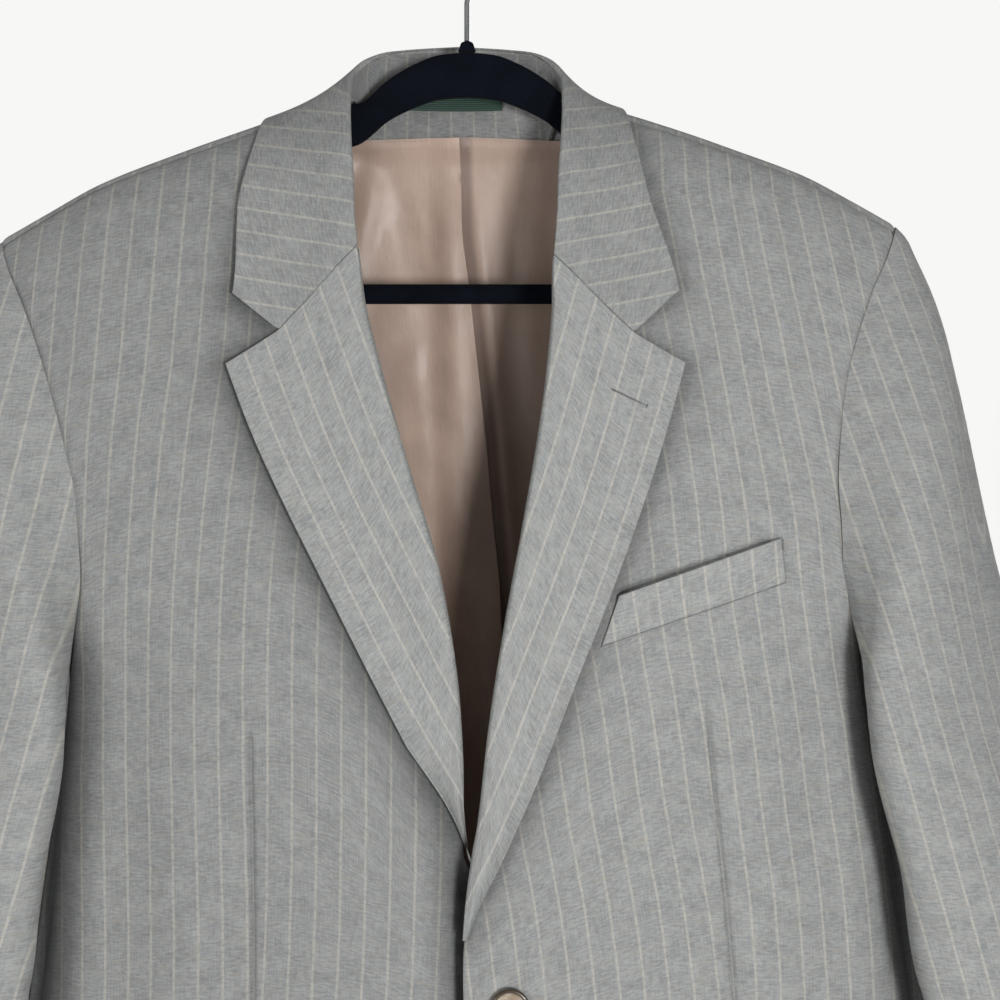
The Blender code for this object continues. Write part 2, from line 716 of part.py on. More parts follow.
def add_label(name, material):
    """Add the plain strip sewn to the inside of the stand, bent where the stand is."""
    outer, normals = stand_grid()
    inner = outer - normals * (LEAF + 2.0 * SEAM)
    foot_x = inner[0, :, 0]
    inside = foot_x[(foot_x > LABEL_X[0] + 1.0) & (foot_x < LABEL_X[1] - 1.0)]
    xs = np.concatenate([[LABEL_X[0]], inside, [LABEL_X[1]]])
    strips = []
    for z in LABEL_Z:
        level = [np.interp(z, inner[:, c, 2], np.arange(len(inner))) for c in range(inner.shape[1])]
        at_x = [np.interp(r, np.arange(len(inner)), inner[:, c, 0]) for c, r in enumerate(level)]
        at_y = [np.interp(r, np.arange(len(inner)), inner[:, c, 1]) for c, r in enumerate(level)]
        y = np.interp(xs, at_x, at_y)
        strips.append(np.stack([xs, y, np.full(xs.shape, z)], axis=-1))
    outer = np.array(strips)
    normals = np.broadcast_to(np.array([0.0, 1.0, 0.0]), outer.shape)
    return add_wall(name, outer, normals, 0.6, material)


# ---------------------------------------------------------------- sleeves
def armhole_ring(side):
    """Return the armhole's points and the way round it, in degrees, 90 at the top."""
    front_row = all_rows(ARCH_TURNS)[len(HEM_ROWS) + len(WAIST_ROWS) - 1:]
    back_row = all_rows(BACK_TURNS)[len(HEM_ROWS) + len(WAIST_ROWS) - 1:]
    front_x = settle(armhole_front_at, front_row, "front", side)
    back_x = settle(armhole_back_at, back_row, "back", side)
    front = body(side * front_x, front_row, "front")
    back = body(side * back_x, back_row, "back")[::-1]
    under = side_grid(side)[-1][1:-1]
    ring = np.concatenate([front, back, under])
    centre = np.array([0.0, 2.0, -300.0])
    around = np.degrees(np.arctan2((ring[:, 2] - centre[2]) / 125.0, -(ring[:, 1] - centre[1]) / 42.0))
    around = np.where(around < -90.0 + 1e-6, around + 360.0, around)
    order = np.argsort(around)
    return ring[order], around[order]


def sleeve_section(along, around, side):
    """Return points round the sleeve at a height below the armhole.

    The section is a flat oval, turned so that its front edge lies toward the body and its
    width across the garment is the one in the table.
    """
    column = {name: curve(SLEEVE, "z", name)(along)
              for name in ("inner_x", "outer_x", "middle_y", "half_flat", "half_thick", "tilt")}
    half = (column["outer_x"] - column["inner_x"]) / 2.0
    middle = (column["outer_x"] + column["inner_x"]) / 2.0
    flat = column["half_flat"]
    thick = column["half_thick"]
    twist = np.arcsin(np.sqrt((half**2 - thick**2) / (flat**2 - thick**2)))
    sine = np.sin(np.radians(around))
    cosine = np.cos(np.radians(around))
    forward = flat * cosine
    out = thick * sine
    x = middle - forward * np.sin(twist) + out * np.cos(twist)
    y = column["middle_y"] - forward * np.cos(twist) - out * np.sin(twist)
    z = along + (x - middle) * np.tan(np.radians(column["tilt"]))
    return np.stack(np.broadcast_arrays(side * x, y, z), axis=-1)


def sleeve_fold(along, around):
    """Return how far the sleeve's folds push its cloth inward."""
    total = np.zeros(np.broadcast(along, around).shape)
    for fold in SLEEVE_FOLDS:
        away = (around - fold.around_deg + 180.0) % 360.0 - 180.0
        lean = along - fold.along - away * 0.0006
        total = total + fold.depth * np.exp(-((lean / fold.length) ** 2) - (away / fold.width) ** 2)
    return total


def sleeve_grid(side):
    """Return the sleeve's outer points, row by row from the armhole to the cuff."""
    ring, around = armhole_ring(side)
    first = sleeve_section(np.array(float(SLEEVE_ZS[0])), around, side)
    sine = np.sin(np.radians(around))
    cosine = np.cos(np.radians(around))
    out = 0.08 + (0.34 + 0.20 * sine + 0.35 * np.abs(cosine)) * smooth_step((sine + 1.0) / 1.1)
    leave = unit(np.stack([side * out, -0.42 * cosine, -0.85 + 0.15 * np.abs(cosine)], axis=-1))
    arrive = unit(np.stack([np.full(around.shape, side * 0.22), np.zeros(around.shape),
                            np.full(around.shape, -1.0)], axis=-1))
    span = np.linalg.norm(first - ring, axis=-1, keepdims=True)
    start = ring + leave * 0.9 + np.array([side * 0.9, 0.0, 0.0])
    rows = []
    for step in range(CAP_STEPS):
        t = (step / CAP_STEPS) ** 1.15
        rows.append(start * (2 * t**3 - 3 * t**2 + 1) + first * (3 * t**2 - 2 * t**3)
                    + leave * span * (t**3 - 2 * t**2 + t) + arrive * span * (t**3 - t**2))
    for z in SLEEVE_ZS:
        rows.append(sleeve_section(np.array(float(z)), around, side))
    return np.array(rows), around


def tube_normals(points):
    """Return outward directions on a grid that closes round on itself."""
    across = np.roll(points, -1, axis=1) - np.roll(points, 1, axis=1)
    along = np.gradient(points, axis=0)
    normals = unit(np.cross(across, along))
    middle = points.mean(axis=1, keepdims=True)
    sense = np.sign(np.sum(normals * (points - middle), axis=(0, 1)).sum())
    return normals * sense


def add_sleeve(side, top_name, under_name, material_top, material_under):
    """Add the two halves of one sleeve, which meet at its front and back seams."""
    points, around = sleeve_grid(side)
    normals = tube_normals(points)
    count = len(points)
    along = np.linspace(0.0, 1.0, count)[:, None]
    push = sleeve_fold(along, np.broadcast_to(around[None, :], (count, len(around))))
    points = points - normals * (push * smooth_step((along - 0.25) / 0.15))[..., None]
    normals = tube_normals(points)
    front_seam = int(np.argmin(np.abs(around + 62.0)))
    back_seam = int(np.argmin(np.abs(around - 215.0)))
    top = slice(front_seam, back_seam + 1)
    under = list(range(back_seam, len(around))) + list(range(0, front_seam + 1))
    for name, pick, material in ((top_name, top, material_top), (under_name, under, material_under)):
        part = points[:, pick].copy()
        facing = normals[:, pick]
        part[:, 0] += unit(part[:, 1] - part[:, 0]) * SEAM
        part[:, -1] += unit(part[:, -2] - part[:, -1]) * SEAM
        add_wall(name, part, facing, WOOL, material)


# ---------------------------------------------------------------- lining, pockets, buttons
def add_lining(name, side, material):
    """Add half of the back lining, with its centre pleat on one side."""
    x, rows = (grid[2:LINING_ROWS, :-1] for grid in back_grid(side))
    if side < 0:
        height = body(x[:, :1], rows[:, :1], "back")[..., 2]
        x = np.concatenate([pleat_edge_at(height), x], axis=1)
        rows = np.concatenate([rows[:, :1], rows], axis=1)
    inset = WOOL + 0.8 + 2.4 * smooth_step((x + 16.0) / 15.0) * (side < 0)
    normals = body_normal(x, rows, "back")
    outer = body(x, rows, "back") - normals * inset[..., None]
    return add_wall(name, outer, normals, LINING, material)


def add_patch(name, top, bottom, side, thickness, material, rows=3, columns=7):
    """Add a flat piece that lies on a front, from its four corners."""
    share = np.linspace(0.0, 1.0, columns)[None, :]
    down = np.linspace(0.0, 1.0, rows)[:, None]
    upper_x = top[0].x + (top[1].x - top[0].x) * share
    lower_x = bottom[0].x + (bottom[1].x - bottom[0].x) * share
    upper_z = top[0].z + (top[1].z - top[0].z) * share
    lower_z = bottom[0].z + (bottom[1].z - bottom[0].z) * share
    x = side * (upper_x * (1 - down) + lower_x * down)
    z = upper_z * (1 - down) + lower_z * down
    lift = np.full(x.shape, PATCH_GAP + thickness)
    row = row_of_height(x, z, "front")
    outer = on_body(x, z, "front", lift)
    return add_wall(name, outer, body_normal(x, row, "front"), thickness, material)


def turned_piece(name, centre, axis, profile, sides, material, flatten=1.0):
    """Add a round piece from (radius, height) rows along an axis, in millimetres."""
    axis = unit(np.array(axis, dtype=float))
    first = unit(np.cross(axis, np.array([0.0, 0.0, 1.0]) if abs(axis[2]) < 0.9
                          else np.array([1.0, 0.0, 0.0])))
    second = np.cross(axis, first)
    points = [centre + axis * profile[0][1]]
    for radius, height in profile[1:-1]:
        for k in range(sides):
            angle = 2.0 * math.pi * k / sides
            points.append(centre + axis * height
                          + (first * math.cos(angle) * flatten + second * math.sin(angle)) * radius)
    points.append(centre + axis * profile[-1][1])
    rings = len(profile) - 2
    faces = []
    for k in range(sides):
        following = (k + 1) % sides
        faces.append((0, 1 + following, 1 + k))
        for ring in range(rings - 1):
            a = 1 + ring * sides
            faces.append((a + k, a + following, a + sides + following, a + sides + k))
        a = 1 + (rings - 1) * sides
        faces.append((a + k, a + following, len(points) - 1))
    return add_object(name, np.array(points) * MM, faces, material)


def add_button(name, z, material):
    """Add one button standing just off the over front."""
    face = on_body(np.array([BUTTON_X]), np.array([z]), "front", np.array([SEAM + 0.3]))[0]
    centre = to_world(face) / MM
    radius = BUTTON_RADIUS
    thick = BUTTON_THICK
    profile = ((0, 0), (radius - 2.0, 0.0), (radius, 1.2), (radius, thick - 1.0), (radius - 1.2, thick),
               (radius - 2.6, thick), (radius - 3.8, thick - 0.8), (0, thick - 0.8))
    return turned_piece(name, centre, (0.0, -1.0, 0.0), profile, 16, material)


# ---------------------------------------------------------------- the hanger
def arm_heights(x):
    """Return the top and bottom of the hanger's arms at a world x."""
    neck_top = curve(HANGER_NECK, "x", "top")(np.abs(x))
    neck_bottom = curve(HANGER_NECK, "x", "bottom")(np.abs(x))
    local = x - drift_at(-120.0)
    nearer = np.where(local > 0, local + SHOULDER_SHIFT * smooth_step((local - 100.0) / 80.0), local)
    rest = ridge_at(np.abs(nearer)) - LEFT_DROOP * smooth_step((-local - 60.0) / 190.0)
    rest = rest - WOOL - 2.2 - 2.2 * smooth_step((np.abs(x) - 150.0) / 60.0)
    beyond = smooth_step((np.abs(x) - 52.0) / 18.0)
    top = np.minimum(neck_top * (1 - beyond) + rest * beyond, np.where(np.abs(x) > 62, rest, 0.0))
    deep = 25.0 - 9.0 * smooth_step((np.abs(x) - 60.0) / 150.0)
    bottom = neck_bottom * (1 - beyond) + (rest - deep) * beyond
    return top, bottom


def add_arms(name, material, columns=33):
    """Add the hanger's two arms as one slim body with rounded ends."""
    share = np.linspace(-1.0, 1.0, columns)
    x = ARM_REACH * np.sign(share) * np.abs(share) ** 1.35
    top, bottom = arm_heights(x)
    closing = np.sqrt(np.clip(1.0 - ((np.abs(x) - ARM_REACH + 8.0) / 8.6).clip(0, 1) ** 2, 0, 1))
    middle = (top + bottom) / 2.0
    half = (top - bottom) / 2.0 * closing
    bevel = 1.6
    ring = ((-1, 1, 0), (-1, -1, 0), (-1, -1, 1), (1, -1, 1), (1, -1, 0), (1, 1, 0), (1, 1, 1), (-1, 1, 1))
    points = []
    for i in range(columns):
        for y_side, z_side, at_edge in ring:
            y = y_side * (ARM_THICK / 2.0 - bevel * at_edge)
            z = middle[i] + z_side * (half[i] - min(bevel, half[i] * 0.4) * (1 - at_edge))
            points.append((x[i], y, z))
    sides = len(ring)
    faces = []
    for i in range(columns - 1):
        for k in range(sides):
            a = i * sides + k
            b = i * sides + (k + 1) % sides
            faces.append((a, b, b + sides, a + sides))
    faces.append(tuple(range(sides)))
    faces.append(tuple((columns - 1) * sides + k for k in range(sides)))
    return add_object(name, np.array(points) * MM, faces, material)


def tube(name, path, half_high, half_thick, sides, material):
    """Add a bar of oval section along a path in the hanger's plane."""
    path = np.array(path, dtype=float)
    along = unit(np.gradient(path, axis=0))
    up = np.stack([-along[:, 1], along[:, 0]], axis=-1)
    points = []
    for i in range(len(path)):
        for k in range(sides):
            angle = 2.0 * math.pi * (k + 0.5) / sides
            rise = up[i] * half_high * math.sin(angle)
            points.append((path[i, 0] + rise[0], half_thick * math.cos(angle), path[i, 1] + rise[1]))
    faces = []
    for i in range(len(path) - 1):
        for k in range(sides):
            a = i * sides + k
            b = i * sides + (k + 1) % sides
            faces.append((a, b, b + sides, a + sides))
    faces.append(tuple(range(sides)))
    faces.append(tuple((len(path) - 1) * sides + k for k in range(sides)))
    return add_object(name, np.array(points) * MM, faces, material)


def add_bar(name, material):
    """Add the crossbar, whose ends bend up to the arms."""
    bend = 22.0
    reach = 172.0
    right = []
    for step in range(7):
        angle = math.radians(-90.0 + 90.0 * step / 6)
        right.append((reach - bend + bend * math.cos(angle), BAR_Z + bend + bend * math.sin(angle)))
    end_left = float(arm_heights(np.array([-reach]))[1][0]) - BAR_END_GAP
    end_right = float(arm_heights(np.array([reach]))[1][0]) - BAR_END_GAP
    left = [(-x, z) for x, z in reversed(right)]
    path = [(-reach, end_left)] + left + [(x, BAR_Z) for x in (-75.0, 0.0, 75.0)] + right
    path = path + [(reach, end_right)]
    return tube(name, path, BAR_HEIGHT / 2.0, BAR_THICK / 2.0, 8, material)


def add_hook(name, material):
    """Add the wire hook: a stem, a bend and a round loop open on one side."""
    radius = HOOK_INNER_RADIUS + WIRE_RADIUS
    centre_z = -HOOK_INNER_RADIUS
    bend_start = -46.0
    leave = math.radians(-50.0)
    joint = (radius * math.cos(leave), centre_z + radius * math.sin(leave))
    corners = ((0.0, bend_start), (0.0, bend_start + 7.0),
               (joint[0] - 5.0 * math.sin(-leave), joint[1] - 5.0 * math.cos(leave)), joint)
    path = [(0.0, NUB_TOP + SEAM), (0.0, -56.0)]
    for step in range(6):
        t = step / 6
        weights = ((1 - t) ** 3, 3 * t * (1 - t) ** 2, 3 * t * t * (1 - t), t**3)
        path.append(tuple(sum(w * corner[k] for w, corner in zip(weights, corners)) for k in (0, 1)))
    for step in range(19):
        angle = leave + math.radians(250.0) * step / 18
        path.append((radius * math.cos(angle), centre_z + radius * math.sin(angle)))
    return tube(name, path, WIRE_RADIUS, WIRE_RADIUS, 6, material)


# ---------------------------------------------------------------- the whole object
def build():
    """Build every piece."""
    for thing in list(bpy.data.objects):
        bpy.data.objects.remove(thing)
    wool = make_material("grey_pinstripe_wool", (0.29, 0.30, 0.29), 0.85)
    wool_leaf = make_material("grey_pinstripe_facing", (0.31, 0.32, 0.31), 0.85)
    wool_inside = make_material("grey_pinstripe_stand", (0.27, 0.28, 0.27), 0.85)
    lining = make_material("mauve_lining", (0.40, 0.31, 0.27), 0.45)
    green = make_material("green_label", (0.02, 0.06, 0.04), 0.6)
    horn = make_material("horn_button", (0.16, 0.12, 0.08), 0.25)
    flock = make_material("black_flock", (0.008, 0.008, 0.009), 0.9)
    chrome = make_material("chrome_wire", (0.75, 0.76, 0.78), 0.2, 1.0)

    add_front("front_over", 1.0, over_edge_at, wool)
    add_front("front_under", -1.0, under_edge_at, wool)
    for side, word in ((1.0, "left"), (-1.0, "right")):
        add_back("back_" + word, side, wool)
        add_side("side_" + word, side, wool)
        add_sleeve(side, "sleeve_top_" + word, "sleeve_under_" + word, wool, wool)
        add_lining("lining_back_" + word, side, lining)
    add_lapel("lapel_over", 1.0, BREAK_Z, OVER_LAPEL_EDGE, over_edge_at, wool_leaf)
    add_lapel("lapel_under", -1.0, UNDER_BREAK_Z, UNDER_LAPEL_EDGE, under_edge_at, wool_leaf)
    add_collar_fall("collar_fall", wool_leaf)
    add_stand("collar_stand", wool_inside)
    add_label("neck_label", green)
    add_patch("breast_welt", WELT_TOP, WELT_BOTTOM, 1.0, 1.2, wool)
    flap_top = (Corner(FLAP_INNER, FLAP_TOP - 4.0), Corner(FLAP_OUTER, FLAP_TOP))
    flap_bottom = (Corner(FLAP_INNER + 3.0, FLAP_BOTTOM - 4.0), Corner(FLAP_OUTER + 4.0, FLAP_BOTTOM))
    add_patch("pocket_flap_left", flap_top, flap_bottom, 1.0, LEAF, wool, rows=4, columns=9)
    add_patch("pocket_flap_right", flap_top, flap_bottom, -1.0, LEAF, wool, rows=4, columns=9)
    add_button("button_upper", BUTTON_ZS[0], horn)
    add_button("button_lower", BUTTON_ZS[1], horn)

    add_arms("hanger_arms", flock)
    add_bar("hanger_bar", flock)
    nub_foot = float(arm_heights(np.array([0.0]))[0][0]) + SEAM
    nub_high = NUB_TOP - nub_foot
    turned_piece("hanger_nub", np.array([0.0, 0.0, nub_foot]), (0.0, 0.0, 1.0),
                 ((0, 0), (4.9, 0), (4.2, 2.0), (3.6, nub_high - 1.4), (2.4, nub_high), (0, nub_high)),
                 16, flock, flatten=0.62)
    add_hook("hanger_hook", chrome)


build()
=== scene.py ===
"""Looks of a single-breasted, two-button blazer that hangs on a slim flocked hanger.

Each cloth piece is worked out in millimetres in the garment's own frame: x runs across from
the centre line, y from the front to the back, and z up from the rod that the hook hangs on.
A point of the arch over the shoulders has a turn: 0 degrees low on the chest and 90 on the
shoulder's ridge. Stripes and weave follow pattern coordinates kept in a UV map, in metres.
"""

import logging
import math
from dataclasses import dataclass, field
from enum import Enum
from typing import Callable, NamedTuple, Sequence, TypeVar

import bpy
import numpy as np
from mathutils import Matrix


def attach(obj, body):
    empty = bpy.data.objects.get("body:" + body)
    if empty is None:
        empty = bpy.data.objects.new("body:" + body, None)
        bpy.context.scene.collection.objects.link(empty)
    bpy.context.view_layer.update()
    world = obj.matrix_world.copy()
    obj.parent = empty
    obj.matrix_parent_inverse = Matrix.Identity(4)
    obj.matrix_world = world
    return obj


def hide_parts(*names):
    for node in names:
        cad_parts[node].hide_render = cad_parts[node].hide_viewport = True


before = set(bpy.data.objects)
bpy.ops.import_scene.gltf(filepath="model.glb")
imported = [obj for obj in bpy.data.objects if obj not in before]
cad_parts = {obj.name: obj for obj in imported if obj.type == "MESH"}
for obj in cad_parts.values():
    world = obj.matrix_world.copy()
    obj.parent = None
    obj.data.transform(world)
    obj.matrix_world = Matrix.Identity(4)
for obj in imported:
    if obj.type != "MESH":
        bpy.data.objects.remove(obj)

Array = np.ndarray
Socket = bpy.types.NodeSocket
Row = TypeVar("Row")
LOG = logging.getLogger("blazer")
MM = 0.001
PATTERN = "cloth"
# the point attribute that carries painted shade
SHADE = "shade"
PITCH = 12.95
FORWARD = np.array([0.0, -1.0, 0.0])
UP = np.array([0.0, 0.0, 1.0])
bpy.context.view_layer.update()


class Face(Enum):
    """The two faces of the body."""

    FRONT = "front"
    BACK = "back"


class Side(Enum):
    """The wearer's two sides, as the sign of x."""

    LEFT = 1.0
    RIGHT = -1.0


class Border(Enum):
    """The four borders of a grid of cloth."""

    START = "first column"
    END = "last column"
    FOOT = "first row"
    HEAD = "last row"


# ---------------------------------------------------------------- tables, in mm
class Section(NamedTuple):
    """One level of the body."""

    z: float
    half_width: float
    middle: float
    front: float
    back: float


class Spot(NamedTuple):
    """A place given by x and z."""

    x: float
    z: float


class Armhole(NamedTuple):
    """Where the armhole's seam runs at one height."""

    z: float
    front_x: float
    back_x: float


class Crease(NamedTuple):
    """A soft trough between two places, or a ridge where its depth is negative."""

    face: Face
    x1: float
    z1: float
    x2: float
    z2: float
    width: float
    depth: float


class CollarLine(NamedTuple):
    """The collar's fold and outer edge at one turn of the neck."""

    turn: float
    fold_x: float
    fold_y: float
    fold_z: float
    edge_x: float
    edge_turn: float


class SleeveLevel(NamedTuple):
    """One level of the sleeve, a flat oval turned toward the body."""

    z: float
    inner_x: float
    outer_x: float
    middle_y: float
    half_flat: float
    half_thick: float
    tilt: float


class SleeveFold(NamedTuple):
    """A soft fold of the sleeve, by its share of the length and its way round."""

    along: float
    around: float
    length: float
    width: float
    depth: float


class StripeLean(NamedTuple):
    """How far the stripes of each front have moved sideways at a height."""

    z: float
    over: float
    under: float


def table(kind: Callable[..., Row], *rows: Sequence[object]) -> tuple[Row, ...]:
    """Return rows of one kind."""
    return tuple(kind(*row) for row in rows)


SECTIONS = table(
    Section, (-880, 270.0, 10, 76, 44), (-800, 267.0, 11, 76, 41), (-700, 261.0, 12, 75, 37),
    (-640, 257.0, 13, 74, 34), (-583, 252.0, 14, 74, 32), (-544, 246.0, 14, 73, 31),
    (-493, 237.0, 14, 73, 32), (-440, 227.0, 12, 73, 34), (-405, 222.0, 10, 72, 37),
    (-385, 230.0, 9, 71, 40), (-350, 244.0, 7, 69, 43), (-300, 252.0, 5, 67, 45),
    (-200, 262.0, 4, 66, 45), (-60, 265.0, 4, 66, 45))
SHOULDER_RIDGE = table(
    Spot, (0, -86.0), (50, -92.0), (75, -101.0), (108, -111.0), (150, -124.0), (193, -139.0),
    (221, -153.5), (249, -169.0))
CENTRE_DRIFT = table(
    Spot, (8.0, -880), (5.5, -700), (4.5, -583), (0.5, -440), (-3.0, -320), (-5.0, -200), (-5.5, -60))
ARMHOLE = table(
    Armhole, (-405, 216.4, 216.4), (-380, 208.5, 213.0), (-350, 203.5, 211.0), (-315, 203.5, 211.5),
    (-285, 207.5, 215.0), (-256, 213.5, 220.0), (-233, 220.5, 226.0), (-206, 231.0, 234.5),
    (-186, 241.0, 242.0), (-169, 248.0, 248.0))
OVER_EDGE = table(
    Spot, (-5.0, -715), (-5.0, -640), (-5.5, -583), (-5.2, -560), (-3.8, -541), (-2.4, -520),
    (-0.6, -509), (3.4, -491), (12.0, -434), (21.8, -382), (31.5, -336), (44.0, -268), (48.5, -231),
    (51.7, -193), (54.5, -160), (57.0, -135), (60.0, -113), (64.0, -100))
UNDER_EDGE = table(
    Spot, (-43.0, -715), (-43.0, -640), (-41.0, -583), (-35.0, -560), (-18.0, -535), (0.2, -508),
    (0.7, -490), (1.2, -455), (2.2, -424), (9.9, -361), (25.0, -304), (37.5, -257), (51.7, -193),
    (54.5, -160), (57.0, -135), (60.0, -113), (64.0, -100))
OVER_LAPEL_EDGE = table(
    Spot, (-2.6, -549), (0.4, -540), (7.7, -524), (17.2, -506), (38.7, -460), (57.7, -414), (77.4, -368),
    (96.0, -320), (109.0, -282), (119.0, -249))
UNDER_LAPEL_EDGE = table(
    Spot, (-9.0, -520), (-0.3, -508), (14.9, -478), (31.6, -445), (49.0, -409), (73.2, -358),
    (91.0, -320), (107.5, -282), (120.0, -247.5))
COLLAR = table(
    CollarLine, (116, 0.0, 31.0, -64.0, 0.0, 119.0), (112, 22.0, 29.5, -65.0, 38.0, 117.5),
    (105, 42.0, 22.0, -68.5, 68.0, 113.0), (95, 55.0, 10.0, -76.5, 92.0, 103.0),
    (85, 60.0, -4.0, -88.0, 98.0, 86.0), (75, 59.5, -19.5, -105.0, 101.5, 72.0),
    (65, 57.5, -30.5, -124.0, 104.5, 61.5), (55, 55.5, -40.5, -147.0, 108.5, 52.5),
    (48, 54.0, -46.5, -167.0, 112.5, 46.0), (41, 51.7, -52.0, -192.5, 116.5, 39.9))
SLEEVE = table(
    SleeveLevel, (-440, 212, 320, -18, 68, 27, 9), (-500, 223, 338, -22, 68, 28, 10),
    (-580, 235, 355, -27, 67, 30, 11), (-660, 249, 370, -31, 66, 30, 11),
    (-740, 262, 382, -33, 64, 28, 11), (-797, 269, 390, -34, 63, 24, 11))
CREASES = table(
    Crease, (Face.FRONT, -113, -442, -117, -690, 7, 1.2), (Face.FRONT, 127, -430, 144, -690, 7, 1.2),
    (Face.FRONT, 182, -360, 186, -560, 16, 3.0), (Face.FRONT, 160, -470, 172, -820, 20, -3.0),
    (Face.FRONT, -178, -380, -182, -600, 15, 3.0), (Face.FRONT, -150, -500, -168, -860, 22, -3.0),
    (Face.FRONT, 80, -650, 96, -870, 32, 2.4), (Face.FRONT, -74, -640, -88, -870, 30, 2.4),
    (Face.FRONT, 221, -440, 246, -860, 14, 8.5), (Face.FRONT, -221, -440, -248, -860, 14, 8.5),
    (Face.BACK, 118, -300, 128, -860, 30, 4.0), (Face.BACK, -112, -320, -134, -860, 28, 4.0),
    (Face.BACK, 170, -360, 160, -640, 18, -4.0), (Face.BACK, -172, -350, -156, -600, 20, -4.0),
    (Face.BACK, 40, -560, 52, -870, 26, -3.0), (Face.BACK, -34, -600, -60, -870, 24, -3.0))
SOFT_CREASES = table(
    Crease, (Face.FRONT, 196, -300, 205, -430, 8, 1.0), (Face.FRONT, -192, -310, -206, -440, 9, 1.1),
    (Face.FRONT, 214, -440, 222, -640, 10, -1.2), (Face.FRONT, -212, -450, -226, -660, 10, -1.2),
    (Face.FRONT, 150, -200, 172, -290, 16, 0.8), (Face.FRONT, -146, -190, -176, -300, 18, 0.9),
    (Face.FRONT, 70, -480, 96, -600, 14, -0.7), (Face.FRONT, -60, -500, -84, -640, 15, -0.7),
    (Face.FRONT, 30, -600, 118, -700, 12, 0.8), (Face.FRONT, -52, -598, -108, -716, 12, 0.8),
    (Face.BACK, 20, -150, 86, -178, 12, 1.0), (Face.BACK, -24, -154, -92, -172, 11, 1.0),
    (Face.BACK, 84, -330, 196, -300, 13, 1.2), (Face.BACK, -78, -342, -190, -308, 12, 1.1),
    (Face.BACK, 70, -520, 200, -600, 14, 1.1), (Face.BACK, -60, -500, -196, -590, 15, 1.1),
    (Face.BACK, 12, -300, 30, -520, 14, -1.0))
SLEEVE_FOLDS = table(
    SleeveFold, (0.42, 40, 0.05, 60, 2.2), (0.52, 20, 0.04, 70, -1.4), (0.58, -20, 0.04, 60, 1.6),
    (0.50, -150, 0.05, 70, 4.0), (0.74, 10, 0.05, 60, 2.5))
SOFT_SLEEVE_FOLDS = table(
    SleeveFold, (0.47, 10, 0.018, 34, 1.3), (0.55, 62, 0.016, 30, 1.1), (0.63, 30, 0.020, 42, -1.0),
    (0.69, -30, 0.018, 36, 1.2), (0.82, 50, 0.020, 40, 1.0), (0.56, 170, 0.020, 40, 1.4),
    (0.64, 130, 0.018, 36, 1.1), (0.90, -10, 0.018, 44, 0.9))
STRIPE_LEAN = table(
    StripeLean, (-600, 0.0, 0.0), (-540, -2.3, -1.0), (-480, -8.0, -1.2), (-440, -11.5, -2.0),
    (-400, -17.0, -3.5), (-360, -22.0, -6.5), (-320, -25.0, -11.0), (-280, -30.0, -16.5),
    (-240, -36.0, -22.0), (-200, -43.5, -24.5), (-155, -51.0, -26.5))
SLEEVE_LEAN = table(
    StripeLean, (-150, -20.0, -19.0), (-216, 0.0, -8.0), (-264, 14.4, 0.0), (-340, 36.6, 12.6),
    (-370, 45.0, 18.9), (-490, 78.1, 49.5), (-570, 100.2, 71.9), (-810, 166.4, 138.8))
PLEAT_EDGE = table(
    Spot, (20.0, -860), (21.0, -600), (20.0, -377), (17.0, -331), (14.4, -291), (10.4, -246), (5.6, -196),
    (1.9, -165), (1.6, -142), (0.6, -100))
LINING_CREASES = table(
    Crease, (Face.BACK, -46, -128, -60, -190, 7, -3.4), (Face.BACK, -34, -150, -24, -200, 5, 3.0),
    (Face.BACK, -62, -120, -40, -136, 6, 2.6), (Face.BACK, -30, -210, -16, -330, 7, -1.4),
    (Face.BACK, -48, -250, -30, -420, 8, 1.8), (Face.BACK, -8, -150, 2, -300, 5, -1.1),
    (Face.BACK, 26, -140, 34, -300, 6, 1.6), (Face.BACK, 44, -130, 40, -260, 7, -1.4),
    (Face.BACK, -90, -300, -76, -620, 12, 2.0), (Face.BACK, 84, -320, 98, -640, 13, 2.0),
    (Face.BACK, -14, -330, -6, -600, 7, 1.5), (Face.BACK, 60, -460, 52, -760, 12, -1.8),
    (Face.BACK, -130, -520, -118, -800, 14, 1.8), (Face.BACK, 138, -500, 126, -780, 14, 1.8))
NECK_TOP = table(
    Spot, (0, -72.8), (15, -74.3), (28, -79.0), (44, -88.5), (52, -95.8), (58, -102.0), (64, -108.0))
NECK_UNDERSIDE = table(
    Spot, (0, -97.5), (15, -98.8), (28, -103.0), (44, -111.0), (52, -118.0), (58, -123.0), (64, -128.0))

GORGE = Spot(51.7, -192.5)
NOTCH = Spot(93.0, -232.5)
COLLAR_CORNER = Spot(116.5, -211.0)
COLLAR_SIDE = table(
    Spot, COLLAR_CORNER, (111.5, -186.0), (103.0, -166.0), (97.5, -143.0), (94.5, -123.0), (91.0, -108.0))
SLEEVE_SIDE = table(
    Spot, (213.0, -392.0), (218.0, -429.0), (226.0, -500.0), (236.0, -592.0), (246.0, -870.0))
# painted shade for whole pieces: each piece's colour darkened by how much less light fell on it; pieces not
# listed take OTHER_SHADE
PIECE_SHADES = {"lapel_over": 0.0, "lapel_under": 0.02, "front_over": 0.09, "front_under": 0.17,
                "collar_fall": 0.13, "collar_stand": 0.34, "sleeve_top_left": 0.07,
                "sleeve_top_right": 0.03, "breast_welt": 0.02}
OTHER_SHADE = 0.12
WELT_TOP = table(Spot, (81.5, -369.6), (168.4, -339.7))
WELT_BOTTOM = table(Spot, (71.5, -396.3), (170.5, -363.6))
OVER_DART = table(Spot, (127.0, -430.0), (144.0, -690.0))
UNDER_DART = table(Spot, (113.0, -442.0), (117.0, -690.0))
LAPEL_HOLE = table(Spot, (80.5, -262.5), (98.5, -271.5))
LEAF_REST, LEAF_ROLL, LEAF_EDGE = 2.6, 3.2, 4.6
ALL_BORDERS = tuple(Border)
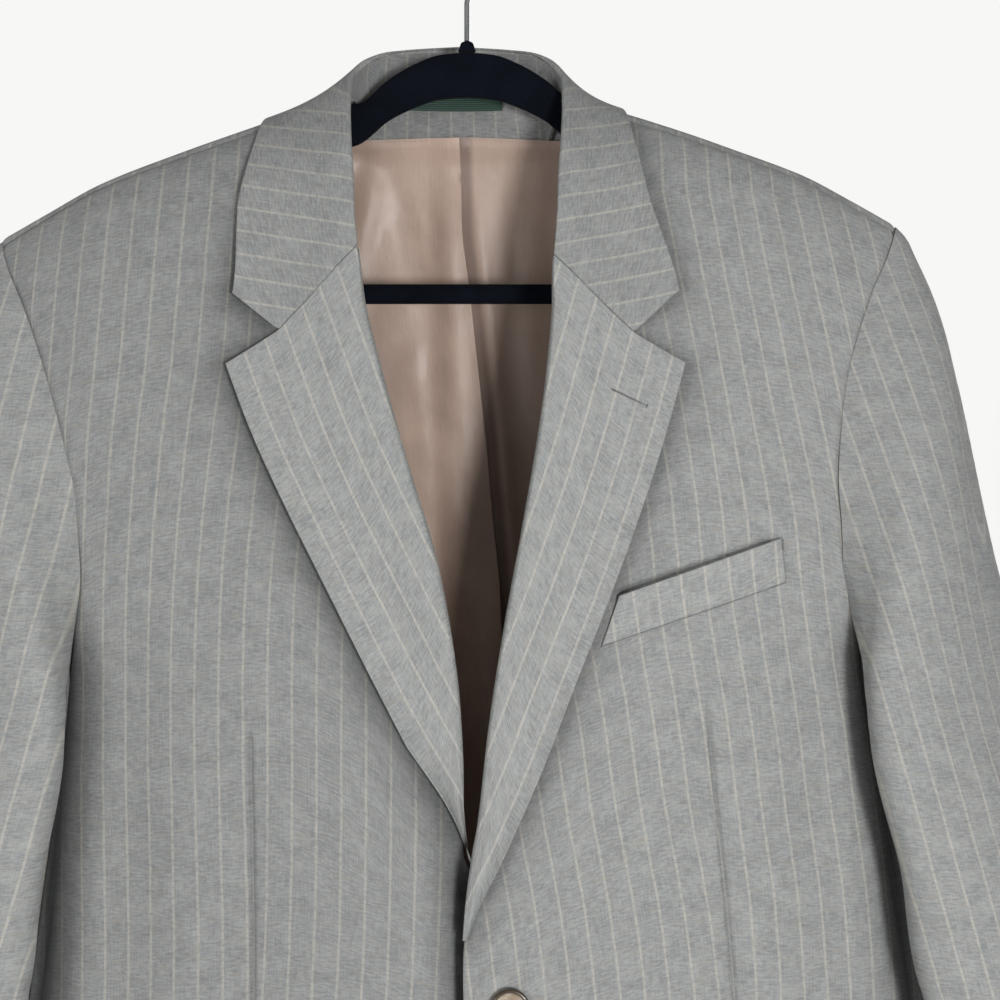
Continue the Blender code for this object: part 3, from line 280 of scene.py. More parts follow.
EDGE_STEPS = np.array([0.0, 0.15, 0.45, 0.9, 1.5, 2.4, 3.8, 6.0])


# ---------------------------------------------------------------- smooth curves and vectors
def ease(value: Array | float) -> Array:
    """Ease from 0 to 1 as value does."""
    share = np.clip(value, 0.0, 1.0)
    return share * share * (3.0 - 2.0 * share)


def ramp(value: Array | float, start: float, end: float) -> Array:
    """Ease from 0 to 1 as value goes from start to end."""
    return ease((value - start) / (end - start))


def bell(value: Array, width: Array | float) -> Array:
    """Return 1 at zero, and less on both sides over about the width."""
    return np.exp(-((value / width) ** 2))


def unit(vectors: Array) -> Array:
    """Scale vectors to length one."""
    return vectors / np.maximum(np.linalg.norm(vectors, axis=-1, keepdims=True), 1e-9)


def uneven(first: Array, second: Array, length: float, phase: float = 0.0) -> Array:
    """Return a gentle unevenness between -1 and 1 over two coordinates.

    Args:
        first: one coordinate, in mm.
        second: the other.
        length: how slowly it changes, in mm.
        phase: where the waves start.

    Returns:
        the unevenness.
    """
    a = np.asarray(first) / length
    b = np.asarray(second) / length
    waves = np.sin(2.1 * a + 0.7 * b + phase) + np.sin(1.7 * b - 0.9 * a + 2.3 * phase + 1.3)
    return (waves + np.sin(1.3 * (a + b) + phase + 4.1)) / 3.0


def steps_along(points: Array, axis: int) -> Array:
    """Return the length run along one axis of a grid, from zero at its first border.

    Args:
        points: rows by columns by 3, in mm.
        axis: 0 to run up the columns, 1 to run across the rows.

    Returns:
        rows by columns, in mm.
    """
    run = np.linalg.norm(np.diff(points, axis=axis), axis=-1)
    start = np.zeros_like(np.take(run, [0], axis=axis))
    return np.concatenate([start, np.cumsum(run, axis=axis)], axis=axis)


def spread(start: Array, end: Array, spacing: float, anchors: Sequence[Array] = ()) -> Array:
    """Place columns from start to end, close together at both ends and at each anchor.

    Args:
        start: the first position in each row, in mm.
        end: the last position in each row.
        spacing: about how far apart the columns stand in the open cloth.
        anchors: positions between the two that columns gather round.

    Returns:
        rows by columns of positions.
    """
    knots = [np.asarray(start, float), *anchors, np.asarray(end, float)]
    parts = []
    for index in range(len(knots) - 1):
        low, high = knots[index][:, None], knots[index + 1][:, None]
        near = EDGE_STEPS * np.minimum(1.0, np.abs(high - low) / 26.0) * np.sign(high - low)
        count = max(3, int(np.max(np.abs(high - low)) / spacing))
        middle = np.linspace(0.0, 1.0, count + 1)[None, 1:-1]
        first, last = low + near, high - near[:, ::-1]
        between = first[:, -1:] + (last[:, :1] - first[:, -1:]) * middle
        parts += [first if index == 0 else first[:, 1:], between, last]
    return np.concatenate(parts, axis=1)


def even_spread(length: float, spacing: float) -> Array:
    """Place points along one length, close together at both ends."""
    return spread(np.zeros(1), np.full(1, length), spacing)[0]


def grid_normals(points: Array, toward: Array) -> Array:
    """Return the directions across a grid of points, all on the side of one direction.

    Args:
        points: rows by columns by 3, in mm.
        toward: a direction outward.

    Returns:
        unit vectors, one for each point.
    """
    normals = unit(np.cross(np.gradient(points, axis=1), np.gradient(points, axis=0)))
    sense = np.sign(np.sum(normals * toward, axis=-1, keepdims=True))
    return normals * np.where(sense == 0, 1.0, sense)


def smoothed_columns(rows: Sequence[Array], count: int) -> Array:
    """Run a smooth curve through a few rows of points and return many rows.

    Args:
        rows: rows of points that the curve passes.
        count: how many rows to return.

    Returns:
        rows by columns by 3, in mm.
    """
    knots = np.array([rows[0] * 2 - rows[1], *rows, rows[-1] * 2 - rows[-2]])
    at = np.linspace(0.0, len(rows) - 1.0, count)
    index = np.minimum(at.astype(int), len(rows) - 2)
    t = (at - index)[:, None, None]
    a, b, c, d = (knots[index + k] for k in range(4))
    return 0.5 * (2 * b + (c - a) * t + (2 * a - 5 * b + 4 * c - d) * t**2 + (3 * b - a - 3 * c + d) * t**3)


def hermite(t: Array | float, first: Array, last: Array, leave: Array, arrive: Array,
            span: Array | float) -> Array:
    """Return places between two ends of a smooth curve.

    Args:
        t: shares of the way.
        first: the value at the start.
        last: the value at the end.
        leave: the slope at the start.
        arrive: the slope at the end.
        span: the length that the slopes are measured over.

    Returns:
        the values.
    """
    ends = first * (2 * t**3 - 3 * t**2 + 1) + last * (3 * t**2 - 2 * t**3)
    return ends + (leave * (t**3 - 2 * t**2 + t) + arrive * (t**3 - t**2)) * span


class SmoothCurve:
    """A smooth function through one column of a table, with no overshoot."""

    def __init__(self, rows: Sequence[NamedTuple], key: str, column: str) -> None:
        """Work out the tangents.

        Args:
            rows: the table.
            key: the column that the function is asked by.
            column: the column that it gives.
        """
        ordered = sorted(rows, key=lambda row: getattr(row, key))
        self.xs = np.array([getattr(row, key) for row in ordered], float)
        self.ys = np.array([getattr(row, column) for row in ordered], float)
        self.steps = np.diff(self.xs)
        slopes = np.diff(self.ys) / self.steps
        self.tangents = np.zeros_like(self.ys)
        self.tangents[[0, -1]] = slopes[[0, -1]]
        for i in range(1, len(self.xs) - 1):
            if slopes[i - 1] * slopes[i] > 0:
                self.tangents[i] = 2 * slopes[i - 1] * slopes[i] / (slopes[i - 1] + slopes[i])

    def __call__(self, at: Array | float) -> Array:
        """Return the column's value at the key.

        Args:
            at: values of the key, held inside the table's ends.

        Returns:
            the values there.
        """
        at = np.clip(np.asarray(at, float), self.xs[0], self.xs[-1])
        index = np.clip(np.searchsorted(self.xs, at) - 1, 0, len(self.steps) - 1)
        step = self.steps[index]
        return hermite((at - self.xs[index]) / step, self.ys[index], self.ys[index + 1],
                       self.tangents[index], self.tangents[index + 1], step)


def crease_depth(creases: Sequence[Crease], face: Face, x: Array, z: Array) -> Array:
    """Return how far the creases of one face push the cloth inward.

    Args:
        creases: the table of creases.
        face: the face of the body.
        x: places across, in mm.
        z: heights, in mm.

    Returns:
        depths in mm, negative on a ridge.
    """
    total = np.zeros(np.broadcast(x, z).shape)
    for crease in creases:
        if crease.face is face:
            near, away = beside_line(x, z, Spot(crease.x1, crease.z1), Spot(crease.x2, crease.z2))
            taper = np.sin(np.pi * np.clip(0.12 + 0.76 * near, 0, 1)) ** 0.7
            total = total + crease.depth * taper * bell(away, crease.width)
    return total


def beside_line(x: Array, z: Array, first: Spot, last: Spot) -> tuple[Array, Array]:
    """Return the nearest shares of the way along a line, and the distances to it in mm.

    Args:
        x: places across, in mm.
        z: heights, in mm.
        first: one end of the line.
        last: the other end.

    Returns:
        the shares from 0 to 1, and the distances.
    """
    run_x, run_z = last.x - first.x, last.z - first.z
    along = ((x - first.x) * run_x + (z - first.z) * run_z) / (run_x**2 + run_z**2)
    near = np.clip(along, 0.0, 1.0)
    return near, np.hypot(x - first.x - near * run_x, z - first.z - near * run_z)


def away_from(x: Array, z: Array, path: Sequence[Spot]) -> Array:
    """Return the distance from places to a line through a few spots, in mm."""
    return np.min([beside_line(x, z, *pair)[1] for pair in zip(path, path[1:])], axis=0)


# ---------------------------------------------------------------- the garment's surface
@dataclass
class GarmentForm:
    """The one surface that carries every panel of the garment, in mm."""

    chest_z: float = -405.0
    hem_z: float = -880.0
    side_fullness: float = 2.6
    front_arch: float = 2.2
    back_arch: float = 2.6
    side_seam_share: float = 0.975
    shoulder_turn: float = 80.0
    gorge_turn: float = 41.0
    back_neck_turn: float = 116.0
    neck_half_width: float = 64.0
    right_droop: float = 8.0
    shoulder_shift: float = 5.0
    under_dip: float = 12.0
    under_tuck: float = 7.0
    wool: float = 2.0
    leaf: float = 1.6
    seam_gap: float = 0.12
    spacing: float = 5.0
    level_x: float = 125.0
    settle_rounds: int = 12

    def __post_init__(self) -> None:
        """Turn the tables into smooth functions."""
        self.half_width = SmoothCurve(SECTIONS, "z", "half_width")
        self.middle = SmoothCurve(SECTIONS, "z", "middle")
        self.front_depth = SmoothCurve(SECTIONS, "z", "front")
        self.back_depth = SmoothCurve(SECTIONS, "z", "back")
        self.ridge = SmoothCurve(SHOULDER_RIDGE, "x", "z")
        self.drift = SmoothCurve(CENTRE_DRIFT, "z", "x")
        self.armhole_front = SmoothCurve(ARMHOLE, "z", "front_x")
        self.armhole_back = SmoothCurve(ARMHOLE, "z", "back_x")
        self.over_edge = SmoothCurve(OVER_EDGE, "z", "x")
        self.under_edge = SmoothCurve(UNDER_EDGE, "z", "x")
        self.side_share = (1.0 - self.side_seam_share**self.side_fullness) ** (1.0 / self.side_fullness)

    def place(self, points: Array) -> Array:
        """Let the garment hang, with its small drift and droop, and return metres.

        Args:
            points: in garment mm.

        Returns:
            the points in metres, in the frame.
        """
        placed = np.array(points, float)
        x, z = placed[..., 0].copy(), placed[..., 2]
        sideways = ramp(np.abs(x), 115.0, 195.0) * ramp(z, -350.0, -240.0)
        placed[..., 0] += self.drift(z) - self.shoulder_shift * sideways
        placed[..., 2] -= self.droop(x)
        return placed * MM

    def droop(self, x: Array) -> Array:
        """Return how much lower the garment hangs on the wearer's right."""
        return self.right_droop * ramp(x, -60.0, -250.0)

    def dip(self, x: Array, z: Array) -> Array:
        """Return how far the under front tucks in behind the over front."""
        deeper = self.under_tuck * ramp(x, -24.0, -6.0) * ramp(z, -478.0, -518.0)
        return deeper + self.under_dip * ramp(x, -30.0, 0.0) * ramp(z, -395.0, -485.0)

    def row_of_height(self, x: Array, z: Array, face: Face) -> Array:
        """Return the row of a point: mm below the chest if negative, else degrees.

        Args:
            x: places across, in mm.
            z: heights, in mm.
            face: the face of the body.

        Returns:
            the rows.
        """
        power = self.front_arch if face is Face.FRONT else self.back_arch
        rise = np.clip((z - self.chest_z) / (self.ridge(np.abs(x)) - self.chest_z), 0.0, 1.0)
        turn = np.degrees(np.arcsin(rise ** (power / 2.0)))
        return np.where(z < self.chest_z, z - self.chest_z, turn)

    def body(self, x: Array, row: Array, face: Face, under: bool = False) -> Array:
        """Return points of the body's outer cloth.

        Args:
            x: places across, in mm.
            row: mm below the chest if negative, else a turn in degrees.
            face: the face of the body.
            under: whether this is the front that lies below the other.

        Returns:
            the points, in mm.
        """
        x, row = np.broadcast_arrays(np.asarray(x, float), np.asarray(row, float))
        over_ridge = (row > 90.0) & (face is Face.BACK)
        in_front = over_ridge | (face is Face.FRONT)
        power = np.where(in_front, self.front_arch, self.back_arch)
        angle = np.radians(np.clip(np.where(over_ridge, 180.0 - row, row), 0.0, 90.0))
        rise = np.sin(angle) ** (2.0 / power)
        reach = np.clip(np.cos(angle), 0.0, 1.0) ** (2.0 / power)
        top = self.ridge(np.abs(x))
        z = np.where(row < 0, self.chest_z + row, self.chest_z + (top - self.chest_z) * rise)
        share = np.clip(np.abs(x) / self.half_width(z), 0.0, 1.0)
        side = (1.0 - share**self.side_fullness) ** (1.0 / self.side_fullness)
        front_y = self.middle(z) - self.front_depth(z) * side * reach
        front_y = front_y + crease_depth(CREASES, Face.FRONT, x, z)
        back_y = self.middle(z) + self.back_depth(z) * side * reach
        back_y = back_y - crease_depth(CREASES, Face.BACK, x, z) * reach
        if under:
            front_y = front_y + self.dip(x, z)
        return np.stack([x, np.where(in_front, front_y, back_y), z], axis=-1)

    def normal(self, x: Array, row: Array, face: Face, under: bool = False) -> Array:
        """Return the outward direction at points of the body.

        Args:
            x: places across, in mm.
            row: mm below the chest if negative, else a turn in degrees.
            face: the face of the body.
            under: whether this is the front that lies below the other.

        Returns:
            unit vectors.
        """
        across = self.body(x + 0.5, row, face, under) - self.body(x - 0.5, row, face, under)
        along = self.body(x, row + 0.2, face, under) - self.body(x, row - 0.2, face, under)
        normal = unit(np.cross(across, along))
        return normal if face is Face.FRONT else -normal

    def on_body(self, x: Array, z: Array, face: Face, offset: Array, under: bool = False) -> Array:
        """Return points at (x, z) moved out from the body's cloth by an offset in mm."""
        row = self.row_of_height(x, z, face)
        return self.body(x, row, face, under) + self.normal(x, row, face, under) * offset[..., None]

    def over_shoulder(self, x: Array, turn: Array, offset: float) -> Array:
        """Return points moved out from the body, for turns that may cross the ridge.

        Args:
            x: places across, in mm.
            turn: turns over the shoulder, in degrees.
            offset: how far out, in mm.

        Returns:
            the points, in mm.
        """
        behind = turn > 90.0
        back_row, front_row = np.where(behind, 180.0 - turn, 45.0), np.where(behind, 45.0, turn)
        back = self.body(x, back_row, Face.BACK) + self.normal(x, back_row, Face.BACK) * offset
        front = self.body(x, front_row, Face.FRONT) + self.normal(x, front_row, Face.FRONT) * offset
        return np.where(behind[..., None], back, front)

    def side_point(self, share: Array, z: Array, sign: float) -> Array:
        """Return points round the side, where share runs from the back to the front.

        Args:
            share: shares of the depth, from -1 at the back to 1 at the front.
            z: heights, in mm.
            sign: 1 on the wearer's left, -1 on the right.

        Returns:
            the points, in mm.
        """
        depth = np.where(share > 0, self.front_depth(z), self.back_depth(z))
        x = self.half_width(z) * (1.0 - np.abs(share) ** self.side_fullness) ** (1.0 / self.side_fullness)
        y = self.middle(z) - depth * share
        x = x * sign
        front = crease_depth(CREASES, Face.FRONT, x, z)
        back = crease_depth(CREASES, Face.BACK, x, z)
        push = np.where(share > 0, front, -back)
        return np.stack([x, y + push * np.minimum(1.0, np.abs(share) / self.side_share), z], axis=-1)

    def settle(self, edge: Callable[[Array], Array], row: Array, face: Face, sign: float) -> Array:
        """Return x on an edge that is given by height, for rows that climb with x.

        Args:
            edge: gives distances toward the side for heights.
            row: mm below the chest if negative, else a turn in degrees.
            face: the face of the body.
            sign: 1 on the wearer's left, -1 on the right.

        Returns:
            distances toward the side, in mm.
        """
        x = np.full(row.shape, 120.0)
        for _ in range(self.settle_rounds):
            x = edge(self.body(sign * x, row, face)[..., 2])
        return x

    def panel_rows(self, face: Face, last_turn: float, heights: Sequence[float] = ()) -> Array:
        """Return the rows of a panel, evenly apart on the cloth and closer at both ends.

        Args:
            face: the face of the body.
            last_turn: the turn where the panel ends.
            heights: heights in mm that rows gather round.

        Returns:
            the rows, from the hem up.
        """
        hem = self.hem_z + EDGE_STEPS
        below = np.arange(hem[-1] + self.spacing, self.chest_z - 2.0, self.spacing)
        turns = np.linspace(0.0, last_turn, 600)
        arch = self.body(np.full(turns.shape, self.level_x), turns, face)
        length = steps_along(arch[:, None], 0)[:, 0]
        rising = np.maximum.accumulate(arch[:, 2])
        fine = np.interp(heights, rising, length)[:, None] if len(heights) else np.zeros((0, 1))
        near = np.concatenate([-EDGE_STEPS[:0:-1], EDGE_STEPS])
        even = np.arange(0.0, length[-1] - 7.0, self.spacing)
        clear = np.all(np.abs(even[None] - fine) > 8.0, axis=0) if len(heights) else even > -1.0
        marks = np.sort(np.concatenate([even[clear], (fine + near).ravel(), length[-1] - EDGE_STEPS]))
        above = np.interp(marks, length, turns)
        return np.concatenate([hem - self.chest_z, below - self.chest_z, above])

    def back_neck_x(self, turn: Array) -> Array:
        """Return half the neck's width at a turn of the arch."""
        share = (turn - self.shoulder_turn) / (self.back_neck_turn - self.shoulder_turn)
        return self.neck_half_width * np.sqrt(1.0 - np.clip(share, 0.0, 1.0) ** 2)


@dataclass
class ClothGrid:
    """A grid of cloth points that becomes a closed wall with soft edges.

    Attributes:
        outer: rows by columns by 3, the face of the cloth, in mm.
        normals: the outward directions.
        thickness: of the wall, a number or a grid, in mm.
        across: pattern coordinates across the stripes, in mm.
        along: pattern coordinates along the stripes, in mm.
        sewn: borders that dip into a seam.
        turned: borders that are folded and round.
        push: how far soft forms push the cloth inward, in mm.
        lined: where the inner skin is lining, as a grid of truth values.
        seam_depth: how far the sewn borders dip, in mm.
        seam_width: how wide that dip is, in mm.
        shade: painted shade, how much darker the cloth's colour is made in its hollows and wherever shadow
            falls on it, from 0 to 1.
    """

    outer: Array
    normals: Array
    thickness: float | Array
    across: Array
    along: Array
    sewn: Sequence[Border] = ()
    turned: Sequence[Border] = ()
    push: float | Array = 0.0
    lined: Array | None = None
    seam_depth: float = 1.0
    seam_width: float = 1.6
    shade: float | Array = 0.0

    def distances(self) -> dict[Border, Array]:
        """Return each point's distance along the cloth to each border, in mm.

        Returns:
            a grid of distances for each border.
        """
        start, foot = steps_along(self.outer, 1), steps_along(self.outer, 0)
        return {Border.START: start, Border.END: start[:, -1:] - start,
                Border.FOOT: foot, Border.HEAD: foot[-1:] - foot}

    def skins(self) -> tuple[Array, Array]:
        """Return the outer and the inner points of the wall, in mm.

        Returns:
            two grids of points.
        """
        away = self.distances()
        pushed = np.zeros(self.outer.shape[:2]) + self.push
        for border in self.sewn:
            pushed = pushed + self.seam_depth * bell(away[border], self.seam_width)
        radius = np.zeros(self.outer.shape[:2]) + np.asarray(self.thickness) / 2.0
        nearest = np.full(radius.shape, 99.0)
        for border in self.turned:
            nearest = np.minimum(nearest, away[border])
        share = np.clip(nearest / radius, 0.0, 1.0)
        half = radius * np.maximum(np.sqrt(1.0 - (1.0 - share) ** 2), 0.1)
        middle = self.outer - self.normals * (radius + pushed)[..., None]
        return middle + self.normals * half[..., None], middle - self.normals * half[..., None]

    def faces(self) -> Array:
        """Return the quads of both skins and of the rim, outer skin first.

        Returns:
            four point numbers for each quad.
        """
        rows, columns = self.outer.shape[:2]
        at = np.arange(rows * columns).reshape(rows, columns)
        skin = rows * columns
        a, b, c, d = (x.ravel() for x in (at[:-1, :-1], at[:-1, 1:], at[1:, 1:], at[1:, :-1]))
        loop = np.concatenate([at[0, :-1], at[:-1, -1], at[-1, :0:-1], at[:0:-1, 0]])
        after = np.roll(loop, -1)
        return np.concatenate([np.stack([a, b, c, d], 1), np.stack([d, c, b, a], 1) + skin,
                               np.stack([loop, loop + skin, after + skin, after], 1)])

    def build(self, name: str, place: Callable[[Array], Array],
              materials: Sequence[bpy.types.Material]) -> bpy.types.Object:
        """Make the wall as one closed mesh with its pattern map.

        Args:
            name: of the piece.
            place: turns garment mm into metres in the frame.
            materials: the cloth's, and the lining's where part of the wall is lined.

        Returns:
            the piece.
        """
        outer, inner = self.skins()
        points = place(np.concatenate([outer.reshape(-1, 3), inner.reshape(-1, 3)]))
        pattern = np.stack([np.tile(self.across.ravel(), 2), np.tile(self.along.ravel(), 2)], 1) * MM
        faces = self.faces()
        piece = make_piece(name, points, faces, materials, pattern)
        # painted shade, written on both skins
        shade = np.broadcast_to(self.shade, self.outer.shape[:2]).ravel()
        layer = piece.data.attributes.new(SHADE, "FLOAT", "POINT")
        layer.data.foreach_set("value", np.tile(shade, 2).astype(np.float32))
        if self.lined is not None:
            quads = (self.outer.shape[0] - 1) * (self.outer.shape[1] - 1)
            inside = np.zeros(len(faces), np.int32)
            inside[quads:2 * quads] = self.lined[:-1, :-1].ravel()
            piece.data.polygons.foreach_set("material_index", inside)
        return piece


def make_piece(name: str, points: Array, faces: Array | Sequence[Sequence[int]],
               materials: Sequence[bpy.types.Material], pattern: Array | None = None,
               crisp: float = 50.0) -> bpy.types.Object:
    """Make one mesh object from points and faces, with its faces turned outward.

    Args:
        name: of the piece.
        points: in metres.
        faces: of three or more corners.
        materials: the piece's slots.
        pattern: a UV coordinate for each point.
        crisp: the angle in degrees past which an edge is sharp.

    Returns:
        the linked object.
    """
    faces = [tuple(int(i) for i in face) for face in faces]
    corners = np.array([(f[0], f[k], f[k + 1]) for f in faces for k in range(1, len(f) - 1)])
    a, b, c = (points[corners[:, k]] for k in range(3))
    if float(np.einsum("ij,ij->i", a, np.cross(b, c)).sum()) < 0:
        faces = [face[::-1] for face in faces]
    mesh = bpy.data.meshes.new(name)
    mesh.from_pydata(points.tolist(), [], faces)
    if pattern is not None:
        layer = mesh.uv_layers.new(name=PATTERN)
        index = np.zeros(len(mesh.loops), np.int32)
        mesh.loops.foreach_get("vertex_index", index)
        layer.data.foreach_set("uv", pattern[index].astype(np.float32).ravel())
    mesh.polygons.foreach_set("use_smooth", np.ones(len(mesh.polygons), bool))
    mesh.set_sharp_from_angle(angle=math.radians(crisp))
    for material in materials:
        mesh.materials.append(material)
    piece = bpy.data.objects.new(name, mesh)
    bpy.context.scene.collection.objects.link(piece)
    return piece


# ---------------------------------------------------------------- finishes
class NodeGraph:
    """Adds and joins the nodes of one tree."""

    def __init__(self, tree: bpy.types.NodeTree) -> None:
        """Keep the tree that the nodes go into."""
        self.tree = tree

    def add(self, kind: str, *values: object, named: dict[str, object] | None = None,
            **settings: object) -> bpy.types.Node:
        """Add a node.

        Args:
            kind: the node's type.
            values: for its inputs in order, each a socket to link, a value, or None to leave.
            named: values for inputs by their names.
            settings: the node's own properties.

        Returns:
            the node.
        """
        node = self.tree.nodes.new(kind)
        for key, value in settings.items():
            setattr(node, key, value)
        pairs = [(node.inputs[i], value) for i, value in enumerate(values) if value is not None]
        pairs += [(node.inputs[key], value) for key, value in (named or {}).items()]
        for socket, value in pairs:
            if isinstance(value, Socket):
                self.tree.links.new(value, socket)
            else:
                socket.default_value = value
        return node

    def out(self, kind: str, *values: object, **settings: object) -> Socket:
        """Add a node and return its first output."""
        return self.add(kind, *values, **settings).outputs[0]

    def math(self, operation: str, *values: object) -> Socket:
        """Add a Math node and return its result."""
        return self.out("ShaderNodeMath", *values, operation=operation)

    def times(self, first: object, second: object) -> Socket:
        """Multiply two values."""
        return self.math("MULTIPLY", first, second)

    def plus(self, first: object, second: object) -> Socket:
        """Add two values up."""
        return self.math("ADD", first, second)

    def noise(self, vector: Socket, scale: tuple[float, float, float], detail: float = 2.0) -> Socket:
        """Return noise over a vector that is first scaled on each axis."""
        scaled = self.out("ShaderNodeVectorMath", vector, scale, operation="MULTIPLY")
        return self.out("ShaderNodeTexNoise", named={"Vector": scaled, "Scale": 1.0, "Detail": detail})

    def remap(self, value: Socket, low: float, high: float, to_low: float = 0.0,
              to_high: float = 1.0) -> Socket:
        """Ease a value from one range to another."""
        named = {"Value": value, "From Min": low, "From Max": high, "To Min": to_low, "To Max": to_high}
        return self.out("ShaderNodeMapRange", named=named, interpolation_type="SMOOTHSTEP")

    def mix(self, share: Socket | float, first: object, second: object) -> Socket:
        """Mix two colours.

        Args:
            share: how much of the second.
            first: one colour.
            second: the other.

        Returns:
            the mixed colour.
        """
        node = self.add("ShaderNodeMix", data_type="RGBA")
        for slot, value in ((0, share), (6, first), (7, second)):
            if isinstance(value, Socket):
                self.tree.links.new(value, node.inputs[slot])
            else:
                node.inputs[slot].default_value = value
        return node.outputs[2]

    def bump(self, height: Socket, distance: float, strength: float) -> Socket:
        """Return a normal that follows a height."""
        named = {"Height": height, "Distance": distance, "Strength": strength}
        return self.out("ShaderNodeBump", named=named)


def colour(red: float, green: float, blue: float) -> tuple[float, float, float, float]:
    """Return an opaque colour."""
    return (red, green, blue, 1.0)


class FinishGraph(NodeGraph):
    """The nodes of one new material, with its shader."""

    def __init__(self, name: str) -> None:
        """Make the material.

        Args:
            name: of the material.
        """
        self.material = bpy.data.materials.new(name)
        self.material.use_nodes = True
        super().__init__(self.material.node_tree)
        self.shader = self.material.node_tree.nodes["Principled BSDF"]

    def pattern(self) -> Socket:
        """Return the coordinates of the piece's own pattern."""
        return self.out("ShaderNodeUVMap", uv_map=PATTERN)

    def place(self) -> Socket:
        """Return the object's coordinates."""
        return self.add("ShaderNodeTexCoord").outputs["Object"]

    def even_noise(self, vector: Socket, scale: float, detail: float = 2.0) -> Socket:
        """Return noise of one scale on every axis."""
        return self.noise(vector, (scale, scale, scale), detail)

    def finish(self, base: Socket, rough: Socket, normal: Socket | None = None,
               **fixed: float) -> bpy.types.Material:
        """Give the shader its inputs and return the material.

        Args:
            base: the base colour.
            rough: the roughness.
            normal: the normal, where the surface has relief.
            fixed: plain values of other inputs, by their names with _ for a space.

        Returns:
            the material.
        """
        linked = {"Base Color": base, "Normal": normal, "Roughness": rough}
        for key, socket in linked.items():
            if socket is not None:
                self.tree.links.new(socket, self.shader.inputs[key])
        for key, value in fixed.items():
            self.shader.inputs[key.replace("_", " ")].default_value = value
        return self.material


@dataclass(frozen=True)
class PinstripeWool:
    """Grey worsted wool with mottled yarns and a fine cream pinstripe, darkened by painted shade."""

    name: str = "grey_pinstripe_wool"
    # the near-black colour that painted shade darkens the cloth toward
    painted_shade_colour: tuple = colour(0.020, 0.021, 0.022)
    dark: tuple = colour(0.25752, 0.26680, 0.26448)
    light: tuple = colour(0.46632, 0.47560, 0.46632)
    warm: tuple = colour(0.40600, 0.38048, 0.33640)
    cool: tuple = colour(0.30392, 0.34336, 0.36192)
    stripe: tuple = colour(0.60320, 0.57420, 0.51040)
    stripe_half: float = 0.00060
    stripe_sway: float = 0.0009
    stripe_strength: float = 0.68

    def yarn(self, graph: FinishGraph, pattern: Socket) -> Socket:
        """Return the height of the yarns, from warp, slubs, grain and slow changes.

        Args:
            graph: the material's nodes.
            pattern: the coordinates of the piece's pattern.

        Returns:
            the height, between about 0.4 and 0.9.
        """
        warp = graph.noise(pattern, (1100.0, 90.0, 1.0), 2.0)
        slub = graph.noise(pattern, (230.0, 820.0, 1.0), 2.0)
        grain = graph.noise(pattern, (1250.0, 1250.0, 1.0), 1.0)
        cloud = graph.noise(pattern, (60.0, 90.0, 1.0), 3.0)
        yarn = graph.plus(graph.times(warp, 0.26), graph.times(slub, 0.50))
        yarn = graph.plus(yarn, graph.times(grain, 0.24))
        return graph.plus(yarn, graph.times(cloud, 0.30))

    def cloth(self, graph: FinishGraph, pattern: Socket, yarn: Socket) -> Socket:
        """Return the cloth's colour between the stripes.

        Args:
            graph: the material's nodes.
            pattern: the coordinates of the piece's pattern.
            yarn: the height of the yarns.

        Returns:
            the colour.
        """
        cloth = graph.mix(graph.remap(yarn, 0.42, 0.88), self.dark, self.light)
        thick = graph.noise(pattern, (70.0, 1100.0, 2.0), 1.0)
        cloth = graph.mix(graph.remap(thick, 0.60, 0.78, 0.0, 0.50), cloth, self.light)
        cloth = graph.mix(graph.remap(thick, 0.24, 0.40, 0.45, 0.0), cloth, self.dark)
        tint = graph.noise(pattern, (90.0, 380.0, 3.0), 2.0)
        cloth = graph.mix(graph.remap(tint, 0.50, 0.78, 0.0, 0.60), cloth, self.warm)
        hue = graph.noise(pattern, (300.0, 60.0, 7.0), 2.0)
        return graph.mix(graph.remap(hue, 0.54, 0.82, 0.0, 0.50), cloth, self.cool)

    def thread(self, graph: FinishGraph, pattern: Socket) -> Socket:
        """Return how much the stripe's broken thread covers the cloth.

        Args:
            graph: the material's nodes.
            pattern: the coordinates of the piece's pattern.

        Returns:
            the share of the stripe's colour.
        """
        across = graph.out("ShaderNodeSeparateXYZ", pattern)
        sway = graph.times(graph.noise(pattern, (30.0, 55.0, 1.0), 2.0), self.stripe_sway)
        place = graph.plus(across, graph.math("SUBTRACT", sway, self.stripe_sway / 2.0))
        away = graph.math("PINGPONG", place, PITCH * MM / 2.0)
        line = graph.remap(away, self.stripe_half * 0.5, self.stripe_half * 1.7, 1.0, 0.0)
        broken = graph.remap(graph.noise(pattern, (120.0, 420.0, 5.0), 2.0), 0.34, 0.62, 0.40, 1.0)
        return graph.times(graph.times(line, broken), self.stripe_strength)

    def make(self) -> bpy.types.Material:
        """Return the material.

        Returns:
            the material.
        """
        graph = FinishGraph(self.name)
        pattern = graph.pattern()
        yarn = self.yarn(graph, pattern)
        cloth, thread = self.cloth(graph, pattern, yarn), self.thread(graph, pattern)
        # painted shade: the shade attribute mixes the cloth toward a near-black colour
        shade = graph.add("ShaderNodeAttribute", attribute_name=SHADE).outputs["Fac"]
        base = graph.mix(shade, graph.mix(thread, cloth, self.stripe), self.painted_shade_colour)
        height = graph.plus(yarn, graph.times(thread, 0.25))
        return graph.finish(base, graph.remap(yarn, 0.42, 0.88, 0.92, 0.80),
                            graph.bump(height, 0.00030, 0.45),
                            Specular_IOR_Level=0.25, Sheen_Weight=0.12, Sheen_Roughness=0.45)


